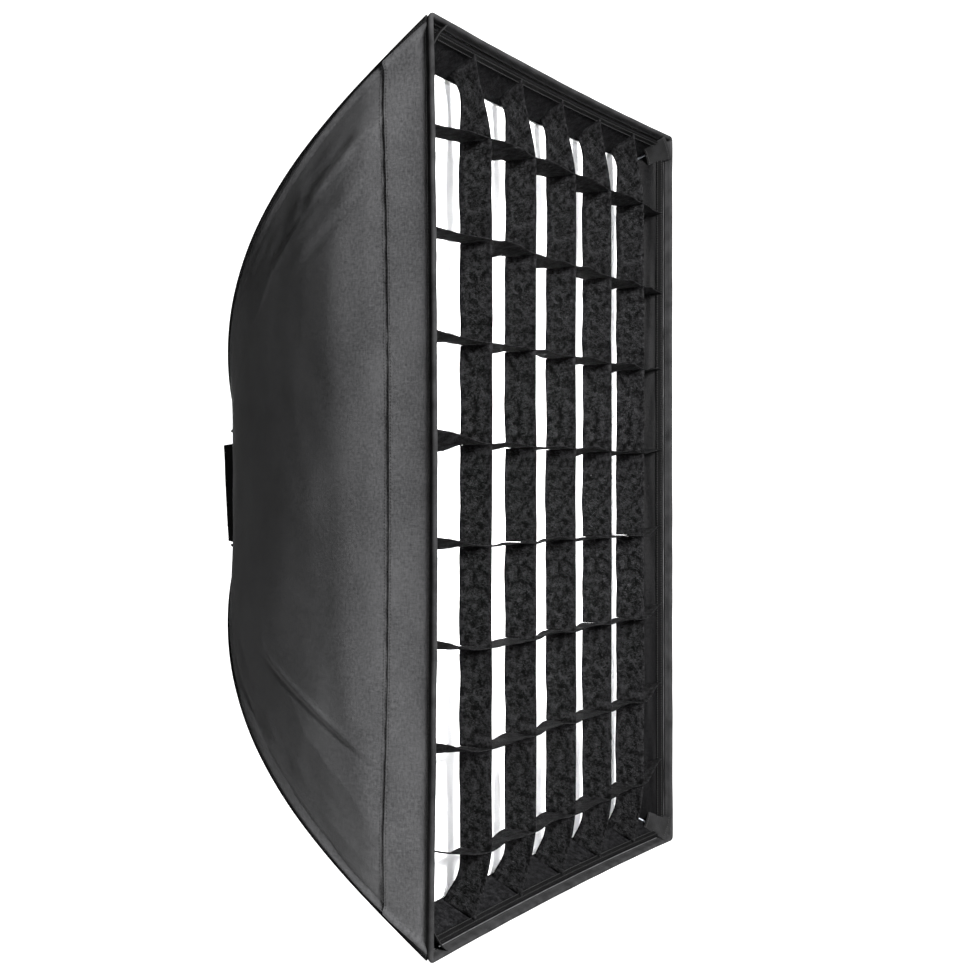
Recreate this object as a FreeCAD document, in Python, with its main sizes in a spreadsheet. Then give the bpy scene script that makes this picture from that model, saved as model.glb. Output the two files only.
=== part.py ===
"""Rod-tensioned rectangular softbox: bayonet speedring, four rods, fabric shell, baffle, diffuser and grid.

Frame: origin at the centre of the speedring's rear seating face, +Y out of the back along the box's axis,
-Y towards the light's subject, +Z up the long side and +X across the short side. Millimetres.
"""
import FreeCAD, Part
import math
import os

import Sketcher
from FreeCAD import Placement, Rotation, Vector

DIMENSIONS = [
    ("front_half_width", 400.0, "rim corner to centre, across"),
    ("front_half_height", 600.0, "rim corner to centre, up"),
    ("rim_depth", 575.0, "rear seat to the rim's plane"),
    ("socket_corner", 58.0, "where the rods' planes start, from the axis, across and up"),
    ("rod_lean", 60.9, "degrees from the rim's plane to a rod at its front end"),
    ("rod_bend_rate", 2.66, "growth of a rod's curvature, per square metre"),
    ("rod_arc_count", 6.0, "tangent arcs along one rod"),
    ("corner_length", 880.0, "length of a corner line over all its arcs"),
    ("rod_radius", 2.5, "spring-steel rod"),
    ("rod_inset", 8.5, "rod centre inside the corner seam"),
    ("cloth", 1.0, "thickness of one fabric layer"),
    ("lip_length", 89.0, "rim to the lip's seam, along a corner"),
    ("shell_end", 846.0, "rim to the shell's rear edge, along a corner"),
    ("corner_gap", 3.0, "from a panel's end to the corner line"),
    ("seam_gap", 0.3, "between two panels at a sewn seam"),
    ("side_bow", 7.0, "inward bow of the long sides at the rim"),
    ("end_bow", 8.0, "inward bow of the short sides at the rim"),
    ("mid_bow", 9.0, "extra inward bow half way along the rods"),
    ("rear_bow", 1.5, "inward bow at the shell's rear edge"),
    ("tape_thickness", 1.4, "hook-and-loop tape"),
    ("strip_depth", 50.0, "depth of the grid's strips"),
    ("strip_front", 8.0, "rim's plane to the strips' front edges"),
    ("strip_thickness", 1.0, "felt strip of the grid"),
    ("slot_width", 1.6, "half-lap slot of the grid's strips"),
    ("strip_end_gap", 1.5, "from a strip's end to the border"),
    ("columns", 6.0, "cells across"),
    ("rows", 9.0, "cells up"),
    ("diffuser_depth", 62.0, "rim's plane to the front diffuser"),
    ("diffuser_corner", 34.0, "cut at the diffuser's corners"),
    ("diffuser_gap", 1.4, "diffuser's edge to the face of its hook-tape border"),
    ("baffle_depth", 300.0, "rim's plane to the inner baffle"),
    ("baffle_half_width", 245.0, "inner baffle, across"),
    ("baffle_half_height", 388.0, "inner baffle, up"),
    ("strap_width", 20.0, "elastic strap of the baffle"),
    ("snap_radius", 6.0, "press stud"),
    ("ring_half", 78.0, "speedring casting, centre to side"),
    ("ring_corner", 26.0, "corner radius of the casting"),
    ("ring_front", 43.0, "rear seat to the casting's front face"),
    ("ring_rear", 8.1, "rear seat to the casting's rear face"),
    ("ring_chamfer", 1.5, "edge chamfer of the casting"),
    ("ring_bore", 60.0, "bore of the casting that the insert turns in"),
    ("sleeve_radius", 59.95, "outside of the insert's sleeve"),
    ("mount_bore", 49.0, "clear bore of the insert"),
    ("flange_radius", 66.0, "rear flange of the insert"),
    ("flange_front", 8.0, "rear seat to the flange's front face"),
    ("flange_step", 4.0, "rear seat to the flange's clamped step"),
    ("seat_radius", 60.0, "outside of the rear seat"),
    ("lug_inner", 53.0, "bayonet lug, inner radius"),
    ("lug_neck", 58.0, "bayonet lug, radius of its neck"),
    ("lug_outer", 64.0, "bayonet lug, outer radius"),
    ("lug_undercut", 5.5, "height of the undercut above the seat"),
    ("lug_height", 9.0, "height of a lug above the seat"),
    ("lug_angle", 40.0, "degrees of arc of one lug"),
    ("lug_count", 3.0, "bayonet lugs"),
    ("keeper_thickness", 3.0, "ring that holds the insert in the casting"),
    ("keeper_inner", 50.5, "inside of that ring"),
    ("keeper_outer", 68.0, "outside of that ring"),
    ("keeper_screw_circle", 55.0, "radius of its screw circle"),
    ("keeper_screw_count", 6.0, "its screws"),
    ("screw_radius", 2.0, "M4 thread"),
    ("screw_head_radius", 3.6, "M4 pan head"),
    ("screw_head_height", 2.4, "M4 pan head"),
    ("screw_length", 10.0, "under the head"),
    ("socket_radius", 6.0, "outside of a rod socket"),
    ("socket_bore", 4.2, "bore of a rod socket"),
    ("socket_length", 32.0, "length of a rod socket"),
    ("ferrule_radius", 4.0, "steel end of a rod"),
    ("ferrule_length", 42.0, "length of that end"),
    ("lock_place", 60.0, "lock screw from the axis, across and up"),
    ("lock_stud_radius", 2.5, "M5 lock screw"),
    ("lock_knob_radius", 9.0, "lock knob"),
    ("lock_knob_height", 12.0, "lock knob"),
    ("flap_length", 162.0, "side flap along its sewn edge"),
    ("flap_drop", 8.0, "side flap's centre below the axis"),
    ("end_flap_length", 148.0, "top and bottom flap along their sewn edge"),
    ("flap_tab_length", 92.0, "the flap's turned-in tab"),
    ("flap_root", 22.4, "rear seat to the flap's sewn edge"),
    ("flap_top", 5.0, "rear seat to the flap's rear face"),
    ("flap_turn", 80.4, "axis to the inside of a closed flap"),
    ("flap_tab_end", 70.0, "axis to the end of the flap's tab"),
    ("dog_width", 14.0, "clamp dog"),
    ("dog_tip_gap", 1.5, "from the rear seat to the dog's tip, across"),
    ("dog_heel", 6.0, "from the lock screw to the dog's heel"),
    ("dog_lip", 5.0, "the dog's lip over the casting's rear face"),
    ("dog_top", 1.0, "rear seat to the dog's rear face"),
    ("knob_neck", 1.5, "step in from the knob to its neck, and its rear bevel"),
    ("knob_flute_radius", 2.0, "finger flute of the knob"),
    ("knob_flute_count", 10.0, "finger flutes"),
    ("tapped_depth", 12.0, "tapped hole of a lock screw"),
    ("stud_below", 17.0, "lock screw in front of its knob's rear seat"),
    ("stud_slot", 1.2, "screwdriver slot of the lock screw, deep"),
    ("collar_height", 1.5, "collar round a socket's mouth"),
    ("collar_length", 2.5, "collar along the socket"),
    ("grub_place", 0.62, "share of a socket's length to its grub screw"),
    ("rod_front", 14.0, "rim to the rod's front end, along a corner"),
    ("cap_length", 20.0, "vinyl cap over a rod's front end"),
    ("cap_wall", 0.6, "wall of that cap"),
    ("cap_end", 4.8, "solid end of that cap"),
    ("patch_place", 24.0, "rim to the middle of a corner patch, along a corner"),
    ("patch_inset", 4.6, "rod's centre to the corner patch"),
    ("patch_width", 8.0, "corner patch"),
    ("patch_length", 40.0, "corner patch"),
    ("tab_behind", 4.2, "baffle's plane to the panel tabs"),
    ("stud_place", 14.0, "panel to a press stud"),
    ("strap_past_stud", 7.0, "strap or tab past the middle of its press stud"),
    ("stud_height", 1.5, "half of a press stud on a strap"),
    ("stud_cap_height", 2.2, "half of a press stud on a tab"),
    ("tape_margin", 3.0, "flap's tape, inside the tab's edges"),
]

# Gaps that keep neighbouring sub-parts apart, in millimetres.
NOTHING = 0.02
FIT = 0.05
FACE_GAP = 0.1

# Hexagon holes in the screws: half the width across flats, and depth.
HEAD_HEX, HEAD_HEX_DEPTH = 1.25, 1.4
GRUB_HEX, GRUB_HEX_DEPTH = 1.0, 1.5


class Size:
    """A length together with the spreadsheet expression that gives it."""

    def __init__(self, value, text):
        self.value = float(value)
        self.text = text

    def joined(self, sign, other, value):
        other_text = other.text if isinstance(other, Size) else repr(float(other))
        return Size(value, f"({self.text} {sign} {other_text})")

    def __add__(self, other):
        return self.joined("+", other, self.value + plain(other))

    def __sub__(self, other):
        return self.joined("-", other, self.value - plain(other))

    def __mul__(self, other):
        return self.joined("*", other, self.value * plain(other))

    def __truediv__(self, other):
        return self.joined("/", other, self.value / plain(other))

    def __neg__(self):
        return Size(-self.value, f"(-1 * {self.text})")


def plain(size):
    """The number in a Size, or the number itself."""
    return size.value if isinstance(size, Size) else float(size)


def fill_sheet(document):
    """Write every driving dimension to the spreadsheet and return them as sizes."""
    sheet = document.addObject("Spreadsheet::Sheet", "dims")
    sizes = {}
    for row, (name, value, note) in enumerate(DIMENSIONS, start=1):
        sheet.set(f"A{row}", name)
        sheet.set(f"B{row}", str(value))
        sheet.set(f"C{row}", note)
        sheet.setAlias(f"B{row}", name)
        sizes[name] = Size(value, f"dims.{name}")
    document.recompute()
    return sizes


doc = FreeCAD.newDocument("softbox")
D = fill_sheet(doc)
subparts = []


def keep(item, label):
    """Name a finished sub-part and put it on the list that is written out."""
    item.Label = label
    subparts.append(item)
    return item


def keep_shape(label, shape):
    """A sub-part whose shape is worked out here."""
    item = doc.addObject("Part::Feature", label)
    item.Shape = shape
    return keep(item, label)


# ---------------------------------------------------------------- sketched bodies


def new_body(label):
    return keep(doc.addObject("PartDesign::Body", label), label)


def origin_item(body, role):
    return next(item for item in body.Origin.OriginFeatures if item.Role == role)


def new_sketch(body, role, offset=0.0):
    """A sketch on one of the body's origin planes, moved along that plane's normal."""
    sketch = body.newObject("Sketcher::SketchObject", f"{body.Name}_sketch")
    sketch.AttachmentSupport = [(origin_item(body, role), "")]
    sketch.MapMode = "FlatFace"
    sketch.AttachmentOffset = Placement(Vector(0, 0, plain(offset)), Rotation())
    if isinstance(offset, Size):
        sketch.setExpression("AttachmentOffset.Base.z", offset.text)
    return sketch


def pin_point(sketch, geometry, point, x, y):
    """Tie a point of the sketch to its place from the origin."""
    for kind, size in (("DistanceX", x), ("DistanceY", y)):
        index = sketch.addConstraint(Sketcher.Constraint(kind, geometry, point, plain(size)))
        if isinstance(size, Size):
            sketch.setExpression(f"Constraints[{index}]", size.text)


def draw_outline(sketch, points):
    """A closed outline of straight lines through the points."""
    first = len(sketch.Geometry)
    count = len(points)
    spots = [Vector(plain(x), plain(y), 0) for x, y in points]
    for i in range(count):
        sketch.addGeometry(Part.LineSegment(spots[i], spots[(i + 1) % count]), False)
    for i in range(count):
        follower = first + (i + 1) % count
        sketch.addConstraint(Sketcher.Constraint("Coincident", first + i, 2, follower, 1))
    for i, (x, y) in enumerate(points):
        pin_point(sketch, first + i, 1, x, y)


def draw_circle(sketch, x, y, radius):
    centre = Vector(plain(x), plain(y), 0)
    geometry = sketch.addGeometry(Part.Circle(centre, Vector(0, 0, 1), plain(radius)), False)
    pin_point(sketch, geometry, 3, x, y)
    index = sketch.addConstraint(Sketcher.Constraint("Radius", geometry, plain(radius)))
    if isinstance(radius, Size):
        sketch.setExpression(f"Constraints[{index}]", radius.text)


def box_points(x0, y0, x1, y1):
    return [(x0, y0), (x1, y0), (x1, y1), (x0, y1)]


def set_length(feature, prop, size):
    setattr(feature, prop, plain(size))
    if isinstance(size, Size):
        feature.setExpression(prop, size.text)


def pad(body, sketch, length, middle=False, back=False):
    feature = body.newObject("PartDesign::Pad", f"{body.Name}_pad")
    feature.Profile = sketch
    set_length(feature, "Length", length)
    feature.Midplane = middle
    feature.Reversed = back
    doc.recompute()
    return feature


def pocket(body, sketch, length, middle=False, back=False):
    """Cut a sketch into the body, and stop if it removed nothing."""
    before = body.Shape.Volume
    feature = body.newObject("PartDesign::Pocket", f"{body.Name}_pocket")
    feature.Profile = sketch
    set_length(feature, "Length", length)
    feature.Midplane = middle
    feature.Reversed = back
    doc.recompute()
    if body.Shape.Volume > before - NOTHING:
        raise ValueError(f"a pocket in {body.Label} cuts nothing")
    return feature


def revolve(body, sketch, angle=360.0, middle=False):
    """Turn a sketch about its own vertical axis."""
    feature = body.newObject("PartDesign::Revolution", f"{body.Name}_turned")
    feature.Profile = sketch
    feature.ReferenceAxis = (sketch, ["V_Axis"])
    feature.Midplane = middle
    set_length(feature, "Angle", angle)
    doc.recompute()
    return feature


def pattern_round(body, feature, count):
    """Repeat a feature round the body's Y axis."""
    pattern = body.newObject("PartDesign::PolarPattern", f"{body.Name}_round")
    pattern.Originals = [feature]
    pattern.Axis = (origin_item(body, "Y_Axis"), [""])
    pattern.Angle = 360.0
    pattern.Occurrences = int(plain(count))
    body.Tip = pattern
    doc.recompute()


def pattern_along(body, feature, role, count, length):
    """Repeat a feature along one of the body's axes."""
    pattern = body.newObject("PartDesign::LinearPattern", f"{body.Name}_row")
    pattern.Originals = [feature]
    pattern.Direction = (origin_item(body, role), [""])
    pattern.Length = plain(length)
    pattern.Occurrences = int(plain(count))
    body.Tip = pattern
    doc.recompute()


def edge_names(shape, test):
    return [f"Edge{i}" for i, edge in enumerate(shape.Edges, start=1) if test(edge)]


def dress(body, kind, base, names, prop, size):
    """Fillet or chamfer the named edges of a feature."""
    feature = body.newObject(f"PartDesign::{kind}", f"{body.Name}_{kind.lower()}")
    feature.Base = (base, names)
    set_length(feature, prop, size)
    doc.recompute()
    return feature


# ---------------------------------------------------------------- the corner lines and the shell

FRONT = {axis: D[name].value for axis, name in (("x", "front_half_width"), ("z", "front_half_height"))}
START = D["socket_corner"].value
REACH = math.hypot(FRONT["x"] - START, FRONT["z"] - START)
SHARE = {axis: (FRONT[axis] - START) / REACH for axis in ("x", "z")}
ARC_LENGTH = D["corner_length"].value / D["rod_arc_count"].value
BEND_RATE = D["rod_bend_rate"].value * 1e-6
CORNERS = {"upper_left": (-1, 1), "upper_right": (1, 1), "lower_left": (-1, -1), "lower_right": (1, -1)}
SIDES = {"left": ("x", -1), "right": ("x", 1), "top": ("z", 1), "bottom": ("z", -1)}


def corner_state(s):
    """Distance out from the socket corner, depth behind the rim, and lean, at a length along a corner line.

    The line is a chain of tangent arcs, each one bent harder than the one before it.
    """
    out, depth, lean = REACH, 0.0, math.radians(D["rod_lean"].value)
    last = int(D["rod_arc_count"].value) - 1
    for i in range(last + 1):
        bend = BEND_RATE * (i + 0.5) * ARC_LENGTH
        step = min(s - i * ARC_LENGTH, ARC_LENGTH) if i < last else s - i * ARC_LENGTH
        after = lean - bend * step
        out += (math.sin(after) - math.sin(lean)) / bend
        depth += (math.cos(after) - math.cos(lean)) / bend
        lean = after
        if s <= (i + 1) * ARC_LENGTH:
            break
    return out, depth, lean


def corner_point(s, inset, signs):
    """A point of one corner line, or of the line that lies inside it by an inset."""
    out, depth, lean = corner_state(s)
    out -= inset * math.sin(lean)
    depth -= inset * math.cos(lean)
    x = signs[0] * (START + SHARE["x"] * out)
    z = signs[1] * (START + SHARE["z"] * out)
    return Vector(x, depth - D["rim_depth"].value, z)


def corner_direction(s, signs):
    """The direction in which a corner line runs back towards the speedring."""
    lean = corner_state(s)[2]
    across = -math.cos(lean)
    return Vector(signs[0] * SHARE["x"] * across, math.sin(lean), signs[1] * SHARE["z"] * across)


def corner_path(s0, s1, inset, signs):
    """The corner line between two lengths, as a wire of tangent arcs."""
    stops = [s0]
    stops += [i * ARC_LENGTH for i in range(1, int(D["rod_arc_count"].value)) if s0 < i * ARC_LENGTH < s1]
    stops.append(s1)
    edges = []
    for a, b in zip(stops, stops[1:]):
        spots = [corner_point(s, inset, signs) for s in (a, (a + b) / 2, b)]
        edges.append(Part.Arc(*spots).toShape())
    return Part.Wire(edges)


def tube_along(path, radius):
    """A round bar along a wire."""
    start = path.Edges[0]
    direction = start.tangentAt(start.FirstParameter)
    ring = Part.Wire([Part.makeCircle(radius, start.valueAt(start.FirstParameter), direction)])
    return path.makePipeShell([ring], True, True)


def bow(side, s):
    """How far the middle of a side is pulled in, along the fabric's normal."""
    along = s / D["shell_end"].value
    rim = D["side_bow"].value if SIDES[side][0] == "x" else D["end_bow"].value
    taper = rim * (1 - along) + D["rear_bow"].value * along
    return taper + D["mid_bow"].value * math.sin(math.pi * max(along, 0.0))


def side_half(side, s):
    """Half the length of a side, from corner to corner."""
    along_axis = "z" if SIDES[side][0] == "x" else "x"
    return START + SHARE[along_axis] * corner_state(s)[0]


def side_point(side, s, v, inset):
    """A point of a side: s from the rim, v from the side's middle, inset inside the outer surface."""
    axis, sign = SIDES[side]
    out, depth, lean = corner_state(s)
    inward = math.sin(lean)
    forward = math.cos(lean) * SHARE[axis]
    norm = math.hypot(inward, forward)
    pull = inset + bow(side, s) * (1 - (v / side_half(side, s)) ** 2)
    outward = sign * (START + SHARE[axis] * out - pull * inward / norm)
    y = depth - D["rim_depth"].value - pull * forward / norm
    return Vector(outward, y, v) if axis == "x" else Vector(v, y, outward)


def side_section(side, s, inset, thickness, gap):
    """The closed outline of one layer of cloth, cut across a side."""
    half = side_half(side, s) - gap
    outer = [side_point(side, s, v, inset) for v in (-half, 0, half)]
    inner = [side_point(side, s, v, inset + thickness) for v in (half, 0, -half)]
    return Part.Wire([
        Part.Arc(*outer).toShape(),
        Part.makeLine(outer[2], inner[0]),
        Part.Arc(*inner).toShape(),
        Part.makeLine(inner[2], outer[0]),
    ])


def side_cloth(side, s0, s1, inset, thickness, gap, stations):
    """One layer of cloth on a side, between two lengths along the corner lines."""
    places = [s0 + (s1 - s0) * i / (stations - 1) for i in range(stations)]
    return Part.makeLoft([side_section(side, s, inset, thickness, gap) for s in places], True, False)


def side_reach(side, v, depth, inset):
    """How far out the cloth's inner face is, at a depth behind the rim and v from the side's middle."""
    low, high = 0.0, D["shell_end"].value
    for _ in range(40):
        middle = (low + high) / 2
        if side_point(side, middle, v, inset).y < depth - D["rim_depth"].value:
            low = middle
        else:
            high = middle
    spot = side_point(side, low, v, inset)
    return abs(spot.x) if SIDES[side][0] == "x" else abs(spot.z)


def side_group(s0, s1, inset, thickness, gap, stations):
    """The same strip of cloth or tape on all four sides."""
    return Part.makeCompound([side_cloth(side, s0, s1, inset, thickness, gap, stations) for side in SIDES])


def cylinder_along(point, direction, radius, length):
    return Part.makeCylinder(radius, length, point, direction)


# ---------------------------------------------------------------- speedring and bayonet


def make_insert():
    """The steel insert: sleeve, clamped flange, rear seat and bayonet lugs."""
    body = new_body("bayonet_insert")
    profile = new_sketch(body, "XY_Plane")
    sleeve_front = -(D["ring_front"] + FACE_GAP)
    draw_outline(profile, [
        (D["mount_bore"], sleeve_front),
        (D["sleeve_radius"], sleeve_front),
        (D["sleeve_radius"], -D["flange_front"]),
        (D["flange_radius"], -D["flange_front"]),
        (D["flange_radius"], -D["flange_step"]),
        (D["seat_radius"], -D["flange_step"]),
        (D["seat_radius"], 0.0),
        (D["mount_bore"], 0.0),
    ])
    revolve(body, profile)
    lug = new_sketch(body, "XY_Plane")
    below_seat = -D["dog_top"]
    draw_outline(lug, [
        (D["lug_inner"], below_seat),
        (D["lug_neck"], below_seat),
        (D["lug_neck"], D["lug_undercut"]),
        (D["lug_outer"], D["lug_undercut"]),
        (D["lug_outer"], D["lug_height"]),
        (D["lug_inner"], D["lug_height"]),
    ])
    pattern_round(body, revolve(body, lug, D["lug_angle"], True), D["lug_count"])
    hole = new_sketch(body, "XZ_Plane", D["ring_front"] + FACE_GAP)
    draw_circle(hole, D["keeper_screw_circle"], 0.0, D["screw_radius"])
    pattern_round(body, pocket(body, hole, D["screw_length"]), D["keeper_screw_count"])


def make_keeper():
    """The ring screwed to the sleeve's front end, which keeps the insert in the casting."""
    body = new_body("retaining_ring")
    face = new_sketch(body, "XZ_Plane", D["ring_front"] + FACE_GAP + NOTHING)
    draw_circle(face, 0.0, 0.0, D["keeper_outer"])
    draw_circle(face, 0.0, 0.0, D["keeper_inner"])
    pad(body, face, D["keeper_thickness"])
    hole = new_sketch(body, "XZ_Plane", D["ring_front"] + FACE_GAP + NOTHING)
    draw_circle(hole, D["keeper_screw_circle"], 0.0, D["screw_radius"] + FACE_GAP)
    through = D["keeper_thickness"] * 2
    pattern_round(body, pocket(body, hole, through, back=True), D["keeper_screw_count"])


def make_keeper_screws():
    """Pan-head screws with a hexagon socket, one for each hole of the retaining ring."""
    under_head = -(D["ring_front"].value + FACE_GAP + 2 * NOTHING + D["keeper_thickness"].value)
    count = int(D["keeper_screw_count"].value)
    screws = []
    for i in range(count):
        angle = 2 * math.pi * i / count
        circle = D["keeper_screw_circle"].value
        seat = Vector(circle * math.cos(angle), under_head, circle * math.sin(angle))
        back = Vector(0, 1, 0)
        head = cylinder_along(seat - back * D["screw_head_height"].value, back,
                              D["screw_head_radius"].value, D["screw_head_height"].value)
        shank = cylinder_along(seat, back, D["screw_radius"].value - FIT, D["screw_length"].value)
        head_top = seat - back * D["screw_head_height"].value
        socket = hex_socket(head_top, back, HEAD_HEX, HEAD_HEX_DEPTH)
        screws.append(head.fuse(shank).cut(socket))
    keep_shape("retaining_screws", Part.makeCompound(screws))


def hex_socket(point, direction, half_flats, depth):
    """The hexagon hole in a screw's end."""
    corner = half_flats / math.cos(math.pi / 6)
    angles = [i * math.pi / 3 for i in range(7)]
    spots = [Vector(corner * math.cos(angle), corner * math.sin(angle), 0) for angle in angles]
    prism = Part.Face(Part.makePolygon(spots)).extrude(Vector(0, 0, depth))
    prism.Placement = Placement(point, Rotation(Vector(0, 0, 1), direction))
    return prism


def socket_line(signs):
    """Where a rod's straight steel end starts, and its direction into the speedring."""
    s = D["shell_end"].value + D["socket_radius"].value
    return corner_point(s, D["rod_inset"].value, signs), corner_direction(s, signs)


def socket_start(signs):
    """The mouth of a rod socket, and the direction into it."""
    start, inward = socket_line(signs)
    inner_end = start + inward * (D["ferrule_length"].value + D["cloth"].value)
    return inner_end - inward * D["socket_length"].value, inward


def lock_places():
    """The two lock screws, at opposite corners of the casting."""
    place = D["lock_place"].value
    return {"upper": (place, place), "lower": (-place, -place)}


def make_casting():
    """The aluminium speedring: a rounded square with a bore, rod holes and tapped holes."""
    body = doc.addObject("PartDesign::Body", "ring_blank")
    face = new_sketch(body, "XZ_Plane", D["ring_rear"])
    half = D["ring_half"]
    draw_outline(face, box_points(-half, -half, half, half))
    draw_circle(face, 0.0, 0.0, D["ring_bore"])
    block = pad(body, face, D["ring_front"] - D["ring_rear"])
    posts = edge_names(body.Shape, lambda edge: abs(edge.tangentAt(edge.FirstParameter).y) > 0.99
                       and abs(edge.Vertexes[0].X) > half.value - 1)
    rounded = dress(body, "Fillet", block, posts, "Radius", D["ring_corner"])
    rims = edge_names(body.Shape, lambda edge: edge.BoundBox.YLength < NOTHING
                      and edge.CenterOfMass.Length > D["ring_bore"].value
                      and not (edge.BoundBox.XLength > 1.9 * D["ring_bore"].value
                               and edge.BoundBox.ZLength > 1.9 * D["ring_bore"].value))
    dress(body, "Chamfer", rounded, rims, "Size", D["ring_chamfer"])
    tapped = new_sketch(body, "XZ_Plane", D["ring_rear"])
    for x, z in lock_places().values():
        draw_circle(tapped, x, z, D["lock_stud_radius"] + FIT)
    pocket(body, tapped, D["tapped_depth"], back=True)
    cutters = []
    for signs in CORNERS.values():
        mouth, inward = socket_start(signs)
        length = D["socket_length"].value
        run_in = D["cap_length"].value
        cutters.append(cylinder_along(mouth - inward * run_in, inward, D["socket_radius"].value + FIT,
                                      length + run_in))
        cutters.append(grub_hole(signs, D["screw_radius"].value + FIT, 0.0))
    tools = doc.addObject("Part::Feature", "ring_cutters")
    tools.Shape = Part.makeCompound(cutters)
    casting = doc.addObject("Part::Cut", "ring_body")
    casting.Base = body
    casting.Tool = tools
    keep(casting, "ring_body")


def grub_hole(signs, radius, clearance):
    """The round space from the casting's front face to a rod socket, at the socket's middle."""
    mouth, inward = socket_start(signs)
    middle = mouth + inward * (D["socket_length"].value * D["grub_place"].value)
    front = -D["ring_front"].value
    length = middle.y - D["socket_radius"].value - clearance - front
    start = Vector(middle.x, front + clearance, middle.z)
    return cylinder_along(start, Vector(0, 1, 0), radius, length - clearance)


def make_sockets():
    """Turned tubes that take the rods' ends, and the grub screws that hold them."""
    sockets = []
    grubs = []
    for signs in CORNERS.values():
        mouth, inward = socket_start(signs)
        length = D["socket_length"].value
        tube = cylinder_along(mouth, inward, D["socket_radius"].value, length)
        collar = cylinder_along(mouth, inward, D["socket_radius"].value + D["collar_height"].value,
                                D["collar_length"].value)
        bore = cylinder_along(mouth - inward, inward, D["socket_bore"].value, length + 5 * FACE_GAP)
        sockets.append(tube.fuse(collar).cut(bore))
        grub = grub_hole(signs, D["screw_radius"].value - FIT, D["seam_gap"].value)
        spot = Vector(grub.CenterOfMass.x, grub.BoundBox.YMin, grub.CenterOfMass.z)
        grubs.append(grub.cut(hex_socket(spot, Vector(0, 1, 0), GRUB_HEX, GRUB_HEX_DEPTH)))
    keep_shape("rod_sockets", Part.makeCompound(sockets))
    keep_shape("socket_screws", Part.makeCompound(grubs))


def make_lock(name, x, z):
    """A knob on a stud, and the dog that it presses on the insert's flange."""
    outward = math.atan2(z, x)
    turn = Placement(Vector(), Rotation(Vector(0, 1, 0), -math.degrees(outward)))
    place = math.hypot(x, z)
    dog = new_body(f"clamp_dog_{name}")
    side = new_sketch(dog, "XY_Plane")
    tip = D["seat_radius"] + D["dog_tip_gap"]
    heel = D["lock_place"] * 2 ** 0.5 + D["dog_heel"]
    bottom = -D["flange_step"] + FIT
    ledge = -D["ring_rear"] + FIT
    top = -D["dog_top"]
    draw_outline(side, [
        (tip, bottom), (heel, bottom), (heel, ledge),
        (heel + D["dog_lip"], ledge), (heel + D["dog_lip"], top), (tip, top),
    ])
    pad(dog, side, D["dog_width"], middle=True)
    hole = new_sketch(dog, "XZ_Plane", 0.0)
    draw_circle(hole, D["lock_place"] * 2 ** 0.5, 0.0, D["lock_stud_radius"] + 2 * FACE_GAP)
    pocket(dog, hole, D["ring_rear"] * 2, middle=True)
    dog.Placement = turn
    knob = new_body(f"lock_knob_{name}")
    profile = new_sketch(knob, "XY_Plane")
    radius = D["lock_knob_radius"]
    neck = radius - D["knob_neck"]
    bore = D["lock_stud_radius"] + NOTHING
    base = -D["dog_top"] + FIT
    crown = D["lock_knob_height"] + base
    draw_outline(profile, [
        (bore, base), (neck, base), (neck, base + 2.0), (radius, base + 3.0),
        (radius, crown - D["knob_neck"]), (neck, crown), (bore, crown),
    ])
    revolve(knob, profile)
    flute = new_sketch(knob, "XZ_Plane", 0.0)
    draw_circle(flute, radius + D["knob_flute_radius"] / 2, 0.0, D["knob_flute_radius"])
    through = D["lock_knob_height"] * 3
    pattern_round(knob, pocket(knob, flute, through, middle=True), D["knob_flute_count"])
    knob.Placement = turn.multiply(Placement(Vector(place, 0, 0), Rotation()))
    stud = new_body(f"lock_stud_{name}")
    stud_rear = -(D["lock_knob_height"] - D["stud_slot"] - 2 * FACE_GAP)
    end = new_sketch(stud, "XZ_Plane", stud_rear)
    draw_circle(end, 0.0, 0.0, D["lock_stud_radius"])
    pad(stud, end, D["lock_knob_height"] + D["stud_below"])
    slot = new_sketch(stud, "XZ_Plane", stud_rear)
    reach = D["lock_stud_radius"] + D["cloth"]
    half_slot = D["cloth"] / 2
    draw_outline(slot, box_points(-reach, -half_slot, reach, half_slot))
    pocket(stud, slot, D["stud_slot"], back=True)
    stud.Placement = knob.Placement


# ---------------------------------------------------------------- rods


def make_rods():
    """Four spring-steel rods, with the steel ends that plug into the sockets and the caps at the rim."""
    ferrules = []
    caps = []
    pockets = []
    rod_front = D["rod_front"].value
    for name, signs in CORNERS.items():
        end = D["shell_end"].value + D["socket_radius"].value - FACE_GAP
        path = corner_path(rod_front, end, D["rod_inset"].value, signs)
        keep_shape(f"rod_{name}", tube_along(path, D["rod_radius"].value))
        start, inward = socket_line(signs)
        ferrules.append(cylinder_along(start, inward, D["ferrule_radius"].value, D["ferrule_length"].value))
        caps.append(make_cap(signs, rod_front))
        pockets.append(make_pocket_patch(signs))
    keep_shape("rod_ferrules", Part.makeCompound(ferrules))
    keep_shape("rod_end_caps", Part.makeCompound(caps))
    keep_shape("corner_pockets", Part.makeCompound(pockets))


def make_cap(signs, rod_front):
    """A vinyl cap over a rod's front end."""
    solid_end = D["cap_end"].value
    length = D["cap_length"].value
    bore = D["rod_radius"].value + FIT
    tip = corner_point(rod_front - solid_end - 2 * FACE_GAP, D["rod_inset"].value, signs)
    inward = corner_direction(rod_front, signs)
    outside = cylinder_along(tip, inward, bore + D["cap_wall"].value, length)
    inside = cylinder_along(tip + inward * solid_end, inward, bore, length)
    return outside.cut(inside)


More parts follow.
